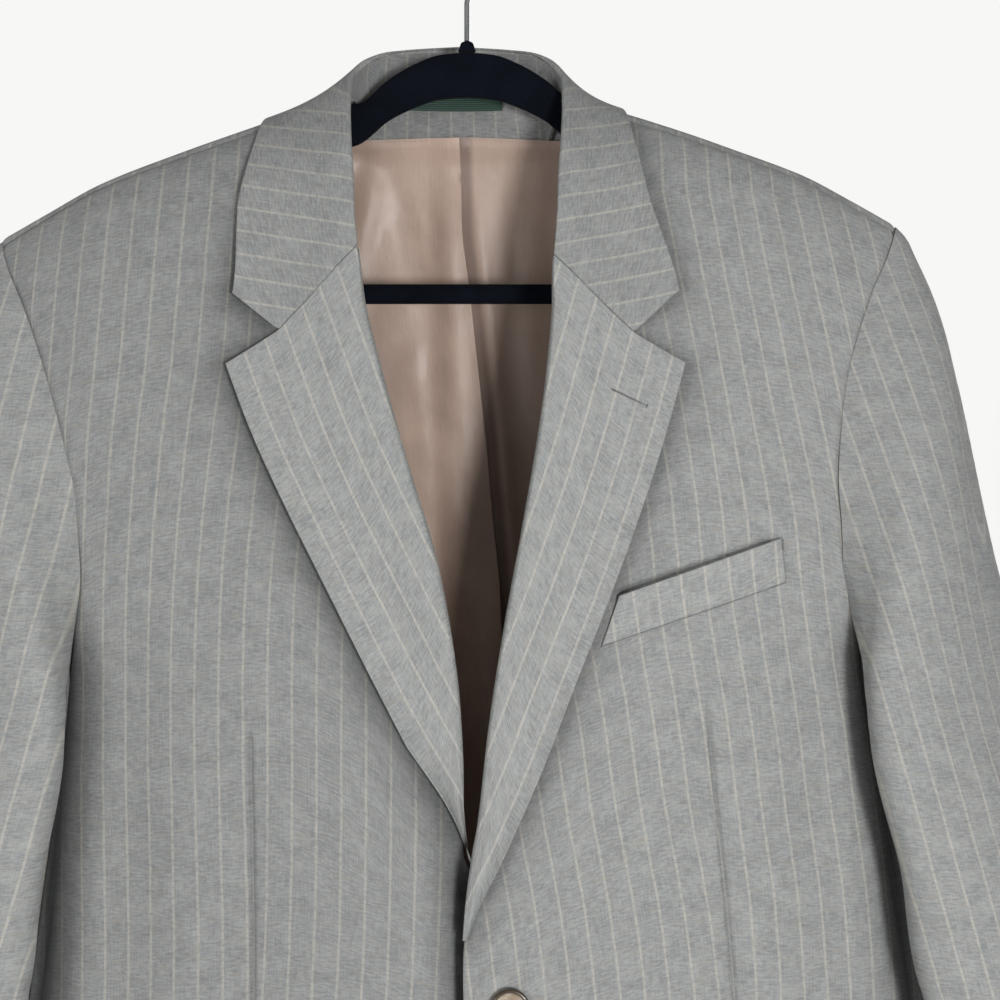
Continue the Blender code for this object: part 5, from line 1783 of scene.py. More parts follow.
@dataclass
class Collar:
    """The collar's fall, its stand with the neck facing, and the plain neck label."""

    room: Workroom
    lean: float = 7.0
    stand_turn: float = 70.0
    facing_foot: float = -117.5
    neck_middle_y: float = -16.0
    label_x: tuple[float, float] = (-27.5, 25.0)
    label_z: tuple[float, float] = (-76.0, -100.5)
    label_gap: float = 0.35
    label_thickness: float = 0.5
    stripe_slope: float = 0.20
    stripe_scale: float = 1.028
    stripe_start: float = -172.4
    stripe_offset: float = 1.3
    rise: float = 5.0
    fall_lift: float = 2.8
    fall_bulge: float = 3.0
    fall_sag: float = 5.0
    roll_depth: float = 1.9
    roll_sweep: float = 140.0
    stand_inset: float = 1.2
    stand_drop: float = 1.4
    stand_gap: float = 1.5
    stand_tuck: float = 1.7
    foot_rise: float = 0.8
    foot_out: float = 2.6
    facing_gap: float = 1.3
    end_hem: float = 0.4
    neck_hem: float = 4.4
    unevenness: float = 0.3

    def around(self, first_turn: float, spacing: float) -> tuple[Array, Array]:
        """Return turns and signs from one end of the neck line to the other.

        Args:
            first_turn: the turn at both ends.
            spacing: degrees between turns.

        Returns:
            the turns, and 1 or -1 for the side that each is on.
        """
        last = self.room.form.back_neck_turn
        half = even_spread(last - first_turn, spacing) + first_turn
        return (np.concatenate([half, half[::-1][1:]]),
                np.concatenate([-np.ones(len(half)), np.ones(len(half) - 1)]))

    def fold(self, turns: Array, sign: Array) -> Array:
        """Return the collar's fold line."""
        x, y, z = (SmoothCurve(COLLAR, "turn", "fold_" + axis)(turns) for axis in "xyz")
        return np.stack([sign * x, y, z], axis=-1)

    def edge(self, turns: Array, sign: Array) -> Array:
        """Return the collar's outer edge.

        Args:
            turns: turns over the shoulder, in degrees.
            sign: 1 on the wearer's left, -1 on the right.

        Returns:
            the points, in mm.
        """
        x, turn = (SmoothCurve(COLLAR, "turn", column)(turns) for column in ("edge_x", "edge_turn"))
        gorge = self.room.form.gorge_turn
        lean = self.lean * ease((turns - gorge) / 18.0) * ramp(turns, 112.0, 98.0)
        return self.room.form.over_shoulder(sign * x - lean, turn, self.fall_lift)

    def fall_grid(self) -> ClothGrid:
        """Return the fall, from its fold to its outer edge, as far as the notches.

        Returns:
            the piece's cloth.
        """
        form = self.room.form
        turns, sign = self.around(form.gorge_turn, 0.9)
        fold, edge = self.fold(turns, sign), self.edge(turns, sign)
        flat = even_spread(56.0, 2.6) / 56.0
        share = flat[None, :, None]
        straight = fold[:, None, :] * (1.0 - share) + edge[:, None, :] * share
        end_x, end_z = notch_line(flat[None, :], GORGE, COLLAR_CORNER, self.rise * (sign < 0)[:, None])
        fade = np.clip(1.0 - (turns - form.gorge_turn) / 16.0, 0.0, 1.0)[:, None] ** 1.6
        x = straight[..., 0] + sign[:, None] * (end_x - np.abs(straight[:1, :, 0])) * fade
        z = straight[..., 2] + (end_z + 0.15 - straight[:1, :, 2]) * fade
        lift = np.broadcast_to(leaf_lift(flat)[None, :], x.shape)
        laid = form.on_body(x, z, Face.FRONT, lift)
        lying = ramp(turns, 76.0, 58.0)[:, None, None]
        sag = self.fall_sag * ramp(turns, 54.0, 68.0) * ramp(turns, 112.0, 102.0)
        bulge = ((self.fall_bulge - sag)[:, None] * np.sin(np.pi * flat)[None, :])[..., None]
        up = grid_normals(straight, UP)
        outer = (np.stack([x, straight[..., 1], z], axis=-1) + up * bulge) * (1.0 - lying) + laid * lying
        first = self.stripe_start + self.stripe_offset * sign * ramp(turns, 100.0, 80.0)
        level = outer[..., 2] - self.stripe_slope * np.abs(outer[..., 0]) - first[:, None]
        middle = len(flat) // 2
        length = steps_along((outer[:, middle])[:, None], 0)[:, 0]
        from_gorge = np.minimum(length, length[-1] - length)
        join = int(np.argmin(np.abs(turns[:len(turns) // 2] - 84.0)))
        round_neck = (from_gorge - from_gorge[join] + level[join, middle])[:, None]
        behind = ramp(turns, 78.0, 94.0)[:, None]
        across = (level * (1.0 - behind) + round_neck * behind) * self.stripe_scale
        face = ClothGrid(outer, grid_normals(outer, UP), form.leaf, across, steps_along(outer, 1),
                         turned=(Border.END, Border.FOOT, Border.HEAD),
                         push=self.unevenness * uneven(across, straight[..., 2], 30.0, 0.4))
        reach = 0.9 + ease((turns - form.gorge_turn) / 20.0)
        return rolled_under(face, reach, np.full(len(turns), self.roll_depth), self.roll_sweep, 10)

    def stand_grid(self) -> ClothGrid:
        """Return the stand and its facing.

        Returns:
            the piece's cloth.
        """
        form = self.room.form
        turns, sign = self.around(self.stand_turn, 1.2)
        front_x = form.settle(form.over_edge, np.minimum(turns, form.shoulder_turn), Face.FRONT, 1.0)
        foot_x = np.where(turns >= form.shoulder_turn, form.back_neck_x(turns), front_x)
        foot = np.where((turns > 90.0)[:, None], form.body(sign * foot_x, 180.0 - turns, Face.BACK),
                        form.body(sign * foot_x, turns, Face.FRONT))
        fold = self.fold(turns, sign)
        inward = unit((np.array([0.0, self.neck_middle_y, 0.0]) - fold) * np.array([1.0, 1.0, 0.0]))
        tuck = inward * (self.stand_tuck * ramp(turns, 90.0, 76.0))[:, None]
        top = fold + inward * self.stand_inset - tuck - self.stand_drop * UP
        bottom = foot + inward * (form.wool + self.stand_gap) - tuck + self.foot_rise * UP
        bottom = bottom - inward * (self.foot_out * ramp(turns, 82.0, 74.0))[:, None]
        hem = self.end_hem + (self.neck_hem - self.end_hem) * ramp(turns, 75.0, 82.0)
        low_row = form.row_of_height(foot[:, 0], np.full(turns.shape, self.facing_foot), Face.BACK)
        low = form.body(foot[:, 0], low_row, Face.BACK)
        low = low - form.normal(foot[:, 0], low_row, Face.BACK) * (form.wool + self.facing_gap)
        facing = ramp(turns, 90.0, 102.0)[:, None]
        low = low * facing + (bottom - hem[:, None] * UP) * (1.0 - facing)
        rows = [low, low * 0.5 + bottom * 0.5, bottom, bottom * 0.6 + top * 0.4, top]
        outer = smoothed_columns(rows, 26)
        across = steps_along(outer, 1)
        across = across - across[:, across.shape[1] // 2][:, None] + 4.0
        return ClothGrid(outer, np.broadcast_to(-inward[None], outer.shape), form.leaf, across,
                         steps_along(outer, 0), (Border.FOOT,), (Border.HEAD,))

    def label_grid(self, stand: ClothGrid) -> ClothGrid:
        """Return the plain strip sewn to the inside of the stand, bent where the stand is.

        Args:
            stand: the stand's cloth.

        Returns:
            the piece's cloth.
        """
        inner = stand.outer - stand.normals * (self.room.form.leaf + self.label_gap)
        xs = np.linspace(*self.label_x, 60)
        strips = []
        for z in np.linspace(*self.label_z, 16):
            level = [np.interp(z, inner[:, c, 2], np.arange(len(inner))) for c in range(inner.shape[1])]
            at = [[np.interp(r, np.arange(len(inner)), inner[:, c, k]) for c, r in enumerate(level)]
                  for k in (0, 1)]
            y = np.interp(xs, at[0], at[1])
            strips.append(np.stack([xs, y - 1.0, np.full(xs.shape, z)], axis=-1))
        outer = np.array(strips)
        return ClothGrid(outer, np.broadcast_to(FORWARD, outer.shape), self.label_thickness,
                         steps_along(outer, 1), steps_along(outer, 0), turned=ALL_BORDERS)

    def build(self) -> None:
        """Build the fall, the stand and the label."""
        stand = self.stand_grid()
        self.room.sew("collar_fall", self.fall_grid(), "wool", ["collar_stand_cloth"], "folded")
        self.room.sew("collar_stand", stand, "wool", ["back_left_cloth", "back_right_cloth"])
        self.room.sew("neck_label", self.label_grid(stand), "label", ["collar_stand_cloth"])


# ---------------------------------------------------------------- sleeves
@dataclass
class Sleeve:
    """One two-piece sleeve, set into its armhole."""

    room: Workroom
    side: Side
    panels: SidePanels
    backs: Backs
    first_stripe: float
    stripe_step: float
    section_z: float = -440.0
    cuff_z: float = -797.0
    ring_points: int = 420
    front_seam: float = -62.0
    back_seam: float = 215.0
    cap_steps: int = 7
    cap_ease: float = 1.15
    cap_swell: float = 1.3
    hole_middle: tuple[float, float] = (2.0, -300.0)
    hole_half: tuple[float, float] = (42.0, 125.0)
    unevenness: float = 0.4
    cuff_hem: float = 34.0
    stripe_tilt: float = 0.27
    weave_stretch: float = 1.04
    level_zs: tuple = (-440, -480, -520, -555, -590, -630, -680, -740, -797)

    def ring(self) -> tuple[Array, Array]:
        """Return the armhole's points and the way round it, in degrees, 90 at the top.

        Returns:
            the points, in mm, and the angles.
        """
        form, sign = self.room.form, self.side.value
        front_row = np.linspace(0.0, form.shoulder_turn, 160)
        back_row = np.linspace(0.0, self.backs.last_turn, 190)
        front_x = form.settle(form.armhole_front, front_row, Face.FRONT, sign)
        back_x = form.settle(form.armhole_back, back_row, Face.BACK, sign)
        front = form.body(sign * front_x, front_row, Face.FRONT)
        back = form.body(sign * back_x, back_row, Face.BACK)
        under = self.panels.points(self.side, np.array([form.chest_z]))[0][1:-1]
        ring = np.concatenate([front, back, under])
        deep, high = ((ring[:, 1:] - self.hole_middle) / self.hole_half).T
        around = np.degrees(np.arctan2(high, -deep))
        around = np.where(around < -90.0 + 1e-6, around + 360.0, around)
        order = np.argsort(around)
        ring, around = ring[order], around[order]
        closed = np.concatenate([ring, ring[:1]])
        angles = np.concatenate([around, around[:1] + 360.0])
        length = steps_along(closed[:, None], 0)[:, 0]
        at = np.linspace(0.0, length[-1], self.ring_points, endpoint=False)
        even = np.stack([np.interp(at, length, closed[:, k]) for k in range(3)], axis=-1)
        return even, np.interp(at, length, angles)

    def section(self, z: float, around: Array) -> Array:
        """Return points round the sleeve at a height below the armhole.

        Args:
            z: the height at its middle, in mm.
            around: the way round, in degrees.

        Returns:
            the points, in mm.
        """
        at = {name: SmoothCurve(SLEEVE, "z", name)(z) for name in SleeveLevel._fields[1:]}
        half = (at["outer_x"] - at["inner_x"]) / 2.0
        middle = (at["outer_x"] + at["inner_x"]) / 2.0
        flat, thick = at["half_flat"], at["half_thick"]
        twist = np.arcsin(np.sqrt((half**2 - thick**2) / (flat**2 - thick**2)))
        forward = flat * np.cos(np.radians(around))
        out = thick * np.sin(np.radians(around))
        x = middle - forward * np.sin(twist) + out * np.cos(twist)
        y = at["middle_y"] - forward * np.cos(twist) - out * np.sin(twist)
        height = z + (x - middle) * np.tan(np.radians(at["tilt"]))
        return np.stack([self.side.value * x, y, height], axis=-1)

    def tube(self) -> tuple[Array, Array, Array]:
        """Return the sleeve's points from armhole to cuff, the way round and the share along.

        Returns:
            rows by columns by 3, an angle for each column and a share for each row.
        """
        ring, around = self.ring()
        sign = self.side.value
        first = self.section(self.section_z, around)
        sine, cosine = np.sin(np.radians(around)), np.cos(np.radians(around))
        out = 0.08 + (0.34 + 0.20 * sine + 0.35 * np.abs(cosine)) * ramp(sine, -1.0, 0.1)
        leave = unit(np.stack([sign * out, -0.42 * cosine, -0.85 + 0.15 * np.abs(cosine)], axis=-1))
        arrive = unit(np.array([sign * 0.22, 0.0, -1.0]))[None, :]
        span = np.linalg.norm(first - ring, axis=-1, keepdims=True)
        under = np.stack([-0.9 * sign * np.ones_like(cosine), 1.0 * cosine, -0.4 * sine.clip(0.0)], axis=-1)
        start = ring + leave * 0.1 + under
        rows, shares = [], []
        levels = len(self.level_zs) + self.cap_steps - 1
        for t in np.concatenate([EDGE_STEPS / 150.0, np.linspace(0.07, 0.98, 26)]):
            rows.append(hermite(t, start, first, leave, arrive, span))
            shares.append(self.cap_steps * t ** (1.0 / self.cap_ease) / levels)
        down = -self.cuff_z + self.section_z
        for z in self.section_z - even_spread(down, self.room.form.spacing)[6:]:
            rows.append(self.section(float(z), around))
            step = np.interp(-z, -np.array(self.level_zs, float), np.arange(len(self.level_zs)))
            shares.append((self.cap_steps + float(step)) / levels)
        return np.array(rows), around, np.array(shares)

    def fold_push(self, share: Array, around: Array) -> Array:
        """Return how far the sleeve's folds push its cloth inward.

        Args:
            share: shares of the way down.
            around: the way round, in degrees.

        Returns:
            depths, in mm.
        """
        total = np.zeros(np.broadcast(share, around).shape)
        for fold in (*SLEEVE_FOLDS, *SOFT_SLEEVE_FOLDS):
            away = (around - fold.around + 180.0) % 360.0 - 180.0
            lean = share - fold.along - away * 0.0006
            total = total + fold.depth * np.exp(-((lean / fold.length) ** 2) - (away / fold.width) ** 2)
        return total * ramp(share, 0.25, 0.4)

    def normals(self, points: Array) -> Array:
        """Return outward directions on the tube.

        Args:
            points: the tube.

        Returns:
            unit vectors.
        """
        across = np.roll(points, -1, axis=1) - np.roll(points, 1, axis=1)
        normals = unit(np.cross(across, np.gradient(points, axis=0)))
        sense = np.sum(normals * (points - points.mean(axis=1, keepdims=True)))
        return normals * np.sign(sense)

    def pattern(self, points: Array, normals: Array, around: Array) -> tuple[Array, Array]:
        """Run the stripes along the sleeve, whatever way its grid runs.

        Args:
            points: the tube.
            normals: its outward directions.
            around: the way round it, in degrees by column.

        Returns:
            pattern coordinates across and along the stripes, in mm.
        """
        placed = self.room.form.place(points) / MM
        lean = SmoothCurve(SLEEVE_LEAN, "z", "over" if self.side is Side.LEFT else "under")
        seen = self.side.value * placed[..., 0] - lean(placed[..., 2])
        axis = unit(np.array([self.side.value * self.stripe_tilt, 0.0, -1.0]))
        run = unit(axis - normals * np.sum(axis * normals, axis=-1, keepdims=True))
        sideways = np.cross(normals, run)
        middle = (sideways[:, 1:] + sideways[:, :-1]) / 2.0
        step = np.sum(np.diff(points, axis=1) * middle, axis=-1)
        step = step * np.sign(step[-1].sum())
        turn = ((around[1:] + around[:-1]) / 2.0)[None, :]
        facing = ramp(turn, 76.0, 46.0) * ramp(turn, -80.0, -66.0)
        step = step * (1.0 - facing) + np.diff(seen, axis=1) * (PITCH / self.stripe_step) * facing
        across = np.concatenate([np.zeros((len(points), 1)), np.cumsum(step, axis=1)], axis=1)
        front = int(np.argmin(np.abs(around - 10.0)))
        start = (seen[:, front] - self.first_stripe) * (PITCH / self.stripe_step)
        across = across + (start - across[:, front])[:, None]
        rear = int(np.argmin(np.abs(around - 150.0)))
        straight = across[-1, rear] + (seen[-1, rear] - seen) * (PITCH / self.stripe_step)
        behind = ramp(around, 84.0, 128.0)[None, :]
        along = -placed[..., 2] * self.weave_stretch
        return across * (1.0 - behind) + straight * behind, along

    def half(self, points: Array, normals: Array, pattern: tuple[Array, Array], pick: Array) -> ClothGrid:
        """Return one half of the sleeve between its seams, with its columns evenly apart.

        Args:
            points: the tube.
            normals: its outward directions.
            pattern: its coordinates across and along the stripes.
            pick: the columns between the seams.

        Returns:
            the piece's cloth.
        """
        rows = np.concatenate([points, normals, np.stack(pattern, axis=-1)], axis=-1)[:, pick]
        length = steps_along(rows[..., :3], 1)
        gap = self.room.form.seam_gap
        wanted = spread(np.full(len(rows), gap), length[:, -1] - gap, self.room.form.spacing)
        done = np.array([[np.interp(at, run, column) for column in row.T]
                         for at, run, row in zip(wanted, length, rows)]).transpose(0, 2, 1)
        down = steps_along(done[..., :3], 0)
        lined = down[-1:] - down > self.cuff_hem
        return ClothGrid(done[..., :3], unit(done[..., 3:6]), self.room.form.wool, done[..., 6],
                         done[..., 7], (Border.START, Border.END), (Border.HEAD,), lined=lined)

    def build(self) -> None:
        """Build the top and the under half."""
        points, around, share = self.tube()
        normals = self.normals(points)
        push = self.fold_push(share[:, None], around[None, :])
        swell = ramp(around[None, :], -10.0, 30.0) * ramp(around[None, :], 190.0, 150.0)
        from_seam = steps_along(points, 0)
        push = push - self.cap_swell * swell * bell(from_seam - 9.0, 8.0)
        waves = uneven(points[..., 2], around[None, :] * 1.5, 30.0, self.side.value)
        push = push + self.unevenness * waves
        points = points - normals * push[..., None]
        normals = self.normals(points)
        pattern = self.pattern(points, normals, around)
        front = int(np.argmin(np.abs(around - self.front_seam)))
        back = int(np.argmin(np.abs(around - self.back_seam)))
        word = self.side.name.lower()
        over = np.arange(front, back + 1)
        below = np.concatenate([np.arange(back, len(around)), np.arange(0, front + 1)])
        lower = self.half(points, normals, pattern, below)
        step = np.roll(lower.across, -1, axis=1) - lower.across
        jump = np.abs(step[:, :-1]) > 60.0
        lower.across[:, 1:] -= np.cumsum(step[:, :-1] * jump, axis=1)
        body = "front_over_cloth" if self.side is Side.LEFT else "front_under_cloth"
        self.room.sew("sleeve_top_" + word, self.half(points, normals, pattern, over), "wool", [body])
        self.room.sew("sleeve_under_" + word, lower, "wool", ["side_" + word + "_cloth"])


# ---------------------------------------------------------------- lining and pockets
@dataclass
class BackLining:
    """The two halves of the back lining, with the centre pleat."""

    room: Workroom
    backs: Backs
    top_turn: float = 62.0
    top_z: float = -113.0
    foot_z: float = -856.0
    inset: float = 2.8
    pleat_lift: float = 4.0
    pleat_bulge: float = 21.0
    ridge: float = 2.2
    low_ridge: float = 1.6
    outer_share: float = 0.94
    thickness: float = 0.7

    def seam_z(self, x: Array) -> Array:
        """Return the height of the seam to the neck facing."""
        return self.top_z - 0.04 * np.abs(x)

    def grid(self, side: Side) -> ClothGrid:
        """Return one half; the wearer's right half carries the pleat.

        Args:
            side: the wearer's side.

        Returns:
            the piece's cloth.
        """
        form, sign = self.room.form, side.value
        row = form.panel_rows(Face.BACK, self.top_turn)
        row = row[row >= self.foot_z - form.chest_z]
        start, end = self.backs.columns(row, sign)
        end = start + (end - start) * self.outer_share
        if side is Side.RIGHT:
            level = form.body(np.zeros(row.shape), row, Face.BACK)[:, 2]
            start = -SmoothCurve(PLEAT_EDGE, "z", "x")(level)
        x = spread(start, end, 3.6)
        straight = form.row_of_height(x, self.seam_z(x), Face.BACK) - self.top_turn
        rows = row[:, None] + straight * ramp(row[:, None], 34.0, 62.0) * ramp(x, 92.0, 70.0)
        points = form.body(sign * x, rows, Face.BACK)
        z = points[..., 2]
        inset = self.inset + 2.7 * ramp(z, -128.0, -118.0)
        edge = SmoothCurve(PLEAT_EDGE, "z", "x")(z)
        if side is Side.RIGHT:
            free = ramp(z, -132.0, -162.0)
            inset = inset + self.pleat_lift * ramp(x, 18.0, 4.0) * (0.35 + 0.65 * free)
            inset = inset + self.pleat_bulge * ramp(z, -330.0, -450.0) * bell(x + edge - 8.0, 26.0)
        else:
            ridge = self.ridge + self.low_ridge * ramp(z, -250.0, -290.0) * ramp(z, -420.0, -360.0)
            inset = inset + ridge * bell(x - edge - 9.0, 4.2) * ramp(z, -140.0, -170.0)
        inset = inset - 0.8 * crease_depth(LINING_CREASES, Face.BACK, sign * x, z)
        inset = inset + 0.5 * (1.0 + uneven(x, z, 17.0, 0.7 * sign)) + 0.25 * uneven(x, z, 7.0, sign)
        inset = np.maximum(inset, form.wool + 0.3)
        normals = form.normal(sign * x, rows, Face.BACK)
        outer = points - normals * inset[..., None]
        # the right half's across coordinate starts 120 mm on, so the lining's painted shade can tell the
        # halves apart
        across = x - edge if side is Side.LEFT else x + edge + 120.0
        return ClothGrid(outer, normals, self.thickness, across, steps_along(outer, 0),
                         turned=(Border.START, Border.FOOT))

    def build(self) -> None:
        """Build both halves."""
        for side in Side:
            word = side.name.lower()
            self.room.sew("lining_back_" + word, self.grid(side), "lining",
                          ["collar_stand_cloth", "back_" + word + "_cloth"])


@dataclass
class Pockets:
    """The breast welt and the two hip pocket flaps."""

    room: Workroom
    stripes: Stripes
    welt_thickness: float = 1.2
    welt_lift: float = 1.25
    welt_gape: float = 2.0
    # painted shade along the welt's sewn foot and ends
    welt_shade: float = 0.62
    welt_shade_width: float = 0.8
    flap_inner: float = 64.0
    flap_outer: float = 208.0
    flap_top: float = -694.0
    flap_bottom: float = -748.0
    flap_corner: float = 14.0
    flap_lift: float = 1.9
    flap_gape: float = 0.9

    def patch(self, x: Array, z: Array, side: Side, lift: Array, thickness: float,
              turned: Sequence[Border], sewn: Sequence[Border] = ()) -> ClothGrid:
        """Return a piece that lies on a front, cut to match its stripes.

        Args:
            x: distances toward the side, in mm.
            z: heights, in mm.
            side: the wearer's side.
            lift: how far it stands off the front, in mm.
            thickness: of its wall, in mm.
            turned: its folded borders.
            sewn: its sewn borders.

        Returns:
            the piece's cloth.
        """
        form = self.room.form
        row = form.row_of_height(side.value * x, z, Face.FRONT)
        outer = form.on_body(side.value * x, z, Face.FRONT, lift)
        return ClothGrid(outer, form.normal(side.value * x, row, Face.FRONT), thickness,
                         self.stripes.across(x, z, side), steps_along(outer, 0), sewn, turned)

    def welt_grid(self) -> ClothGrid:
        """Return the breast welt, open along its top and sewn down at its foot and ends.

        Returns:
            the piece's cloth.
        """
        share = (even_spread(100.0, 2.4) / 100.0)[None, :]
        down = (even_spread(26.0, 2.0) / 26.0)[:, None]
        x, z = ((a * (1 - share) + b * share) * (1 - down) + (c * (1 - share) + d * share) * down
                for a, b, c, d in zip(*WELT_TOP, *WELT_BOTTOM))
        ends = np.minimum(1.0, np.minimum(share, 1.0 - share) * 100.0 / 9.0)
        lift = self.welt_lift + self.welt_gape * (1.0 - down) ** 1.4 * (0.35 + 0.65 * ease(ends))
        lift = lift + 0.15 * uneven(x, z, 14.0)
        grid = self.patch(x, z, Side.LEFT, lift, self.welt_thickness, ALL_BORDERS)
        # painted shade: the welt's colour darkened along its sewn foot and ends
        away = grid.distances()
        sewn = np.minimum(away[Border.HEAD], np.minimum(away[Border.START], away[Border.END]) * 1.6)
        grid.shade = self.welt_shade * bell(sewn, self.welt_shade_width)
        return grid

    def flap_grid(self, side: Side) -> ClothGrid:
        """Return one hip pocket flap, with rounded lower corners.

        Args:
            side: the wearer's side.

        Returns:
            the piece's cloth.
        """
        length = self.flap_outer - self.flap_inner
        share = (even_spread(length, 4.0) / length)[None, :]
        depth = self.flap_top - self.flap_bottom
        down = (even_spread(depth, 3.0) / depth)[:, None]
        end = np.clip(1.0 - np.minimum(share, 1.0 - share) * length / self.flap_corner, 0.0, 1.0)
        rise = self.flap_corner * (1.0 - np.sqrt(1.0 - end**2))
        x = self.flap_inner + length * share + (3.0 + share) * down
        z = self.flap_top - 4.0 * (1.0 - share) - (depth - rise) * down
        lift = self.flap_lift + self.flap_gape * down + 0.5 * down * uneven(x, z, 26.0, side.value)
        turned = (Border.START, Border.END, Border.HEAD)
        return self.patch(x, z, side, lift, self.room.form.leaf, turned, (Border.FOOT,))

    def build(self) -> None:
        """Build the welt and the flaps."""
        self.room.sew("breast_welt", self.welt_grid(), "wool", ["front_over_cloth"], "folded")
        self.room.sew("pocket_flap_left", self.flap_grid(Side.LEFT), "wool", ["front_over_cloth"])
        self.room.sew("pocket_flap_right", self.flap_grid(Side.RIGHT), "wool", ["front_under_cloth"])


# ---------------------------------------------------------------- buttons and sewing
def turned_faces(rings: int, sides: int) -> list[tuple[int, ...]]:
    """Return the faces round a stack of rings whose two ends close on single points.

    Args:
        rings: how many rings.
        sides: points in each.

    Returns:
        the corners of each face.
    """
    faces = []
    last = 1 + rings * sides
    for k in range(sides):
        n = (k + 1) % sides
        faces.append((0, 1 + n, 1 + k))
        for ring in range(rings - 1):
            a = 1 + ring * sides
            faces.append((a + k, a + n, a + sides + n, a + sides + k))
        a = 1 + (rings - 1) * sides
        faces.append((a + k, a + n, last))
    return faces


@dataclass
class Buttons:
    """The two front buttons, with a dished face and four sewing holes."""

    room: Workroom
    x: float = 19.0
    heights: tuple[float, float] = (-583.6, -690.0)
    radius: float = 10.4
    thick: float = 3.6
    rim_out: float = 1.25
    rim_up: float = 1.45
    dish: float = 1.15
    dish_more: float = 0.25
    hole_place: float = 1.9
    hole_radius: float = 0.85
    hole_depth: float = 1.5
    sides: int = 72

    def centre(self, z: float) -> Array:
        """Return the middle of a button's back, in mm in the frame.

        Args:
            z: the button's height in the garment, in mm.

        Returns:
            the point.
        """
        form = self.room.form
        face = form.on_body(np.array([self.x]), np.array([z]), Face.FRONT, np.array([0.6]))
        return form.place(face)[0] / MM

    def profile(self) -> list[tuple[float, float]]:
        """Return radius and height from the back's middle round to the face's middle.

        Returns:
            pairs of radius and height, in mm.
        """
        outline = [(3.0, 0.0), (6.0, 0.0), (8.4, 0.1), (9.4, 0.5)]
        for step in range(9):
            angle = math.radians(-60.0 + 150.0 * step / 8)
            outline.append((self.radius - self.rim_out + self.rim_out * math.cos(angle),
                            self.thick - self.rim_up + self.rim_up * math.sin(angle)))
        outline += [(8.7, self.thick - 0.02), (8.3, self.thick - 0.15), (7.9, self.thick - 0.45),
                    (7.5, self.thick - 0.8), (7.0, self.thick - 1.02)]
        outline += [(r, self.thick - self.dish - self.dish_more * math.cos(r / 7.0 * math.pi / 2))
                    for r in np.arange(6.6, 0.2, -0.3)]
        return outline

    def build(self) -> None:
        """Build both buttons."""
        outline = self.profile()
        angle = 2.0 * math.pi * np.arange(self.sides) / self.sides
        for node, z in zip(("button_upper", "button_lower"), self.heights):
            centre = self.centre(z)
            points, disc = [centre], [(0.0, 0.0)]
            for radius, height in outline:
                across, up = radius * np.cos(angle), radius * np.sin(angle)
                away = np.hypot(np.abs(across) - self.hole_place, np.abs(up) - self.hole_place)
                pit = self.hole_depth * np.exp(-((away / self.hole_radius) ** 4))
                pit = pit * (height > 1.5) * (radius < 6.5)
                points += list(centre + np.stack([across, -(height - pit), up], axis=-1))
                disc += [(radius, a) for a in angle]
            points.append(centre + (self.thick - self.dish - self.dish_more) * FORWARD)
            disc.append((0.0, 0.0))
            faces = turned_faces(len(outline), self.sides)
            pattern = np.array(disc) * np.array([MM, 1.0])
            piece = make_piece(node + "_horn", np.array(points) * MM, faces, [self.room.finishes.horn],
                               pattern)
            self.room.hand_over(piece, [node], "button")


@dataclass
class StitchTree:
    """A Geometry Nodes tree that sets short threads along a path."""

    name: str = "threads_along_a_path"
    wobble: float = 0.13
    inputs: tuple = (("Path", "NodeSocketGeometry"), ("Spacing", "NodeSocketFloat"),
                     ("Length", "NodeSocketFloat"), ("Radius", "NodeSocketFloat"),
                     ("Turn", "NodeSocketFloat"), ("Facing", "NodeSocketVector"),
                     ("Seed", "NodeSocketInt"), ("Thread", "NodeSocketMaterial"))

    def make(self) -> bpy.types.NodeTree:
        """Return the tree.

        Returns:
            the tree.
        """
        tree = bpy.data.node_groups.new(self.name, "GeometryNodeTree")
        for label, kind in self.inputs:
            tree.interface.new_socket(label, in_out="INPUT", socket_type=kind)
        tree.interface.new_socket("Threads", in_out="OUTPUT", socket_type="NodeSocketGeometry")
        graph = NodeGraph(tree)
        given = graph.add("NodeGroupInput").outputs
        path = graph.out("GeometryNodeMeshToCurve", given["Path"])
        spaced = graph.out("GeometryNodeResampleCurve",
                           named={"Curve": path, "Length": given["Spacing"]}, mode="LENGTH")
        wobble = graph.add("FunctionNodeRandomValue", data_type="FLOAT")
        wobble.inputs[2].default_value, wobble.inputs[3].default_value = -self.wobble, self.wobble
        tree.links.new(given["Seed"], wobble.inputs["Seed"])
        angle = graph.plus(given["Turn"], wobble.outputs[1])
        spin = graph.out("FunctionNodeAxisAngleToRotation", named={"Axis": given["Facing"], "Angle": angle})
        tangent = graph.out("GeometryNodeInputTangent")
        aligned = graph.out("FunctionNodeAlignRotationToVector", named={"Vector": tangent}, axis="X")
        turned = graph.out("FunctionNodeRotateRotation", aligned, spin, rotation_space="GLOBAL")
        half = graph.times(given["Length"], 0.5)
        size = graph.out("ShaderNodeCombineXYZ", half, given["Radius"], given["Radius"])
        bead = graph.out("GeometryNodeMeshUVSphere", named={"Segments": 6, "Rings": 5, "Radius": 1.0})
        placed = graph.out("GeometryNodeInstanceOnPoints",
                           named={"Points": spaced, "Instance": bead, "Rotation": turned, "Scale": size})
        solid = graph.out("GeometryNodeRealizeInstances", placed)
        dyed = graph.out("GeometryNodeSetMaterial", named={"Geometry": solid, "Material": given["Thread"]})
        graph.add("NodeGroupOutput", dyed)
        return tree


class Stitch(NamedTuple):
    """One kind of stitch: mm between threads, their length and radius, and their turn in degrees."""

    spacing: float
    length: float
    radius: float
    turn: float


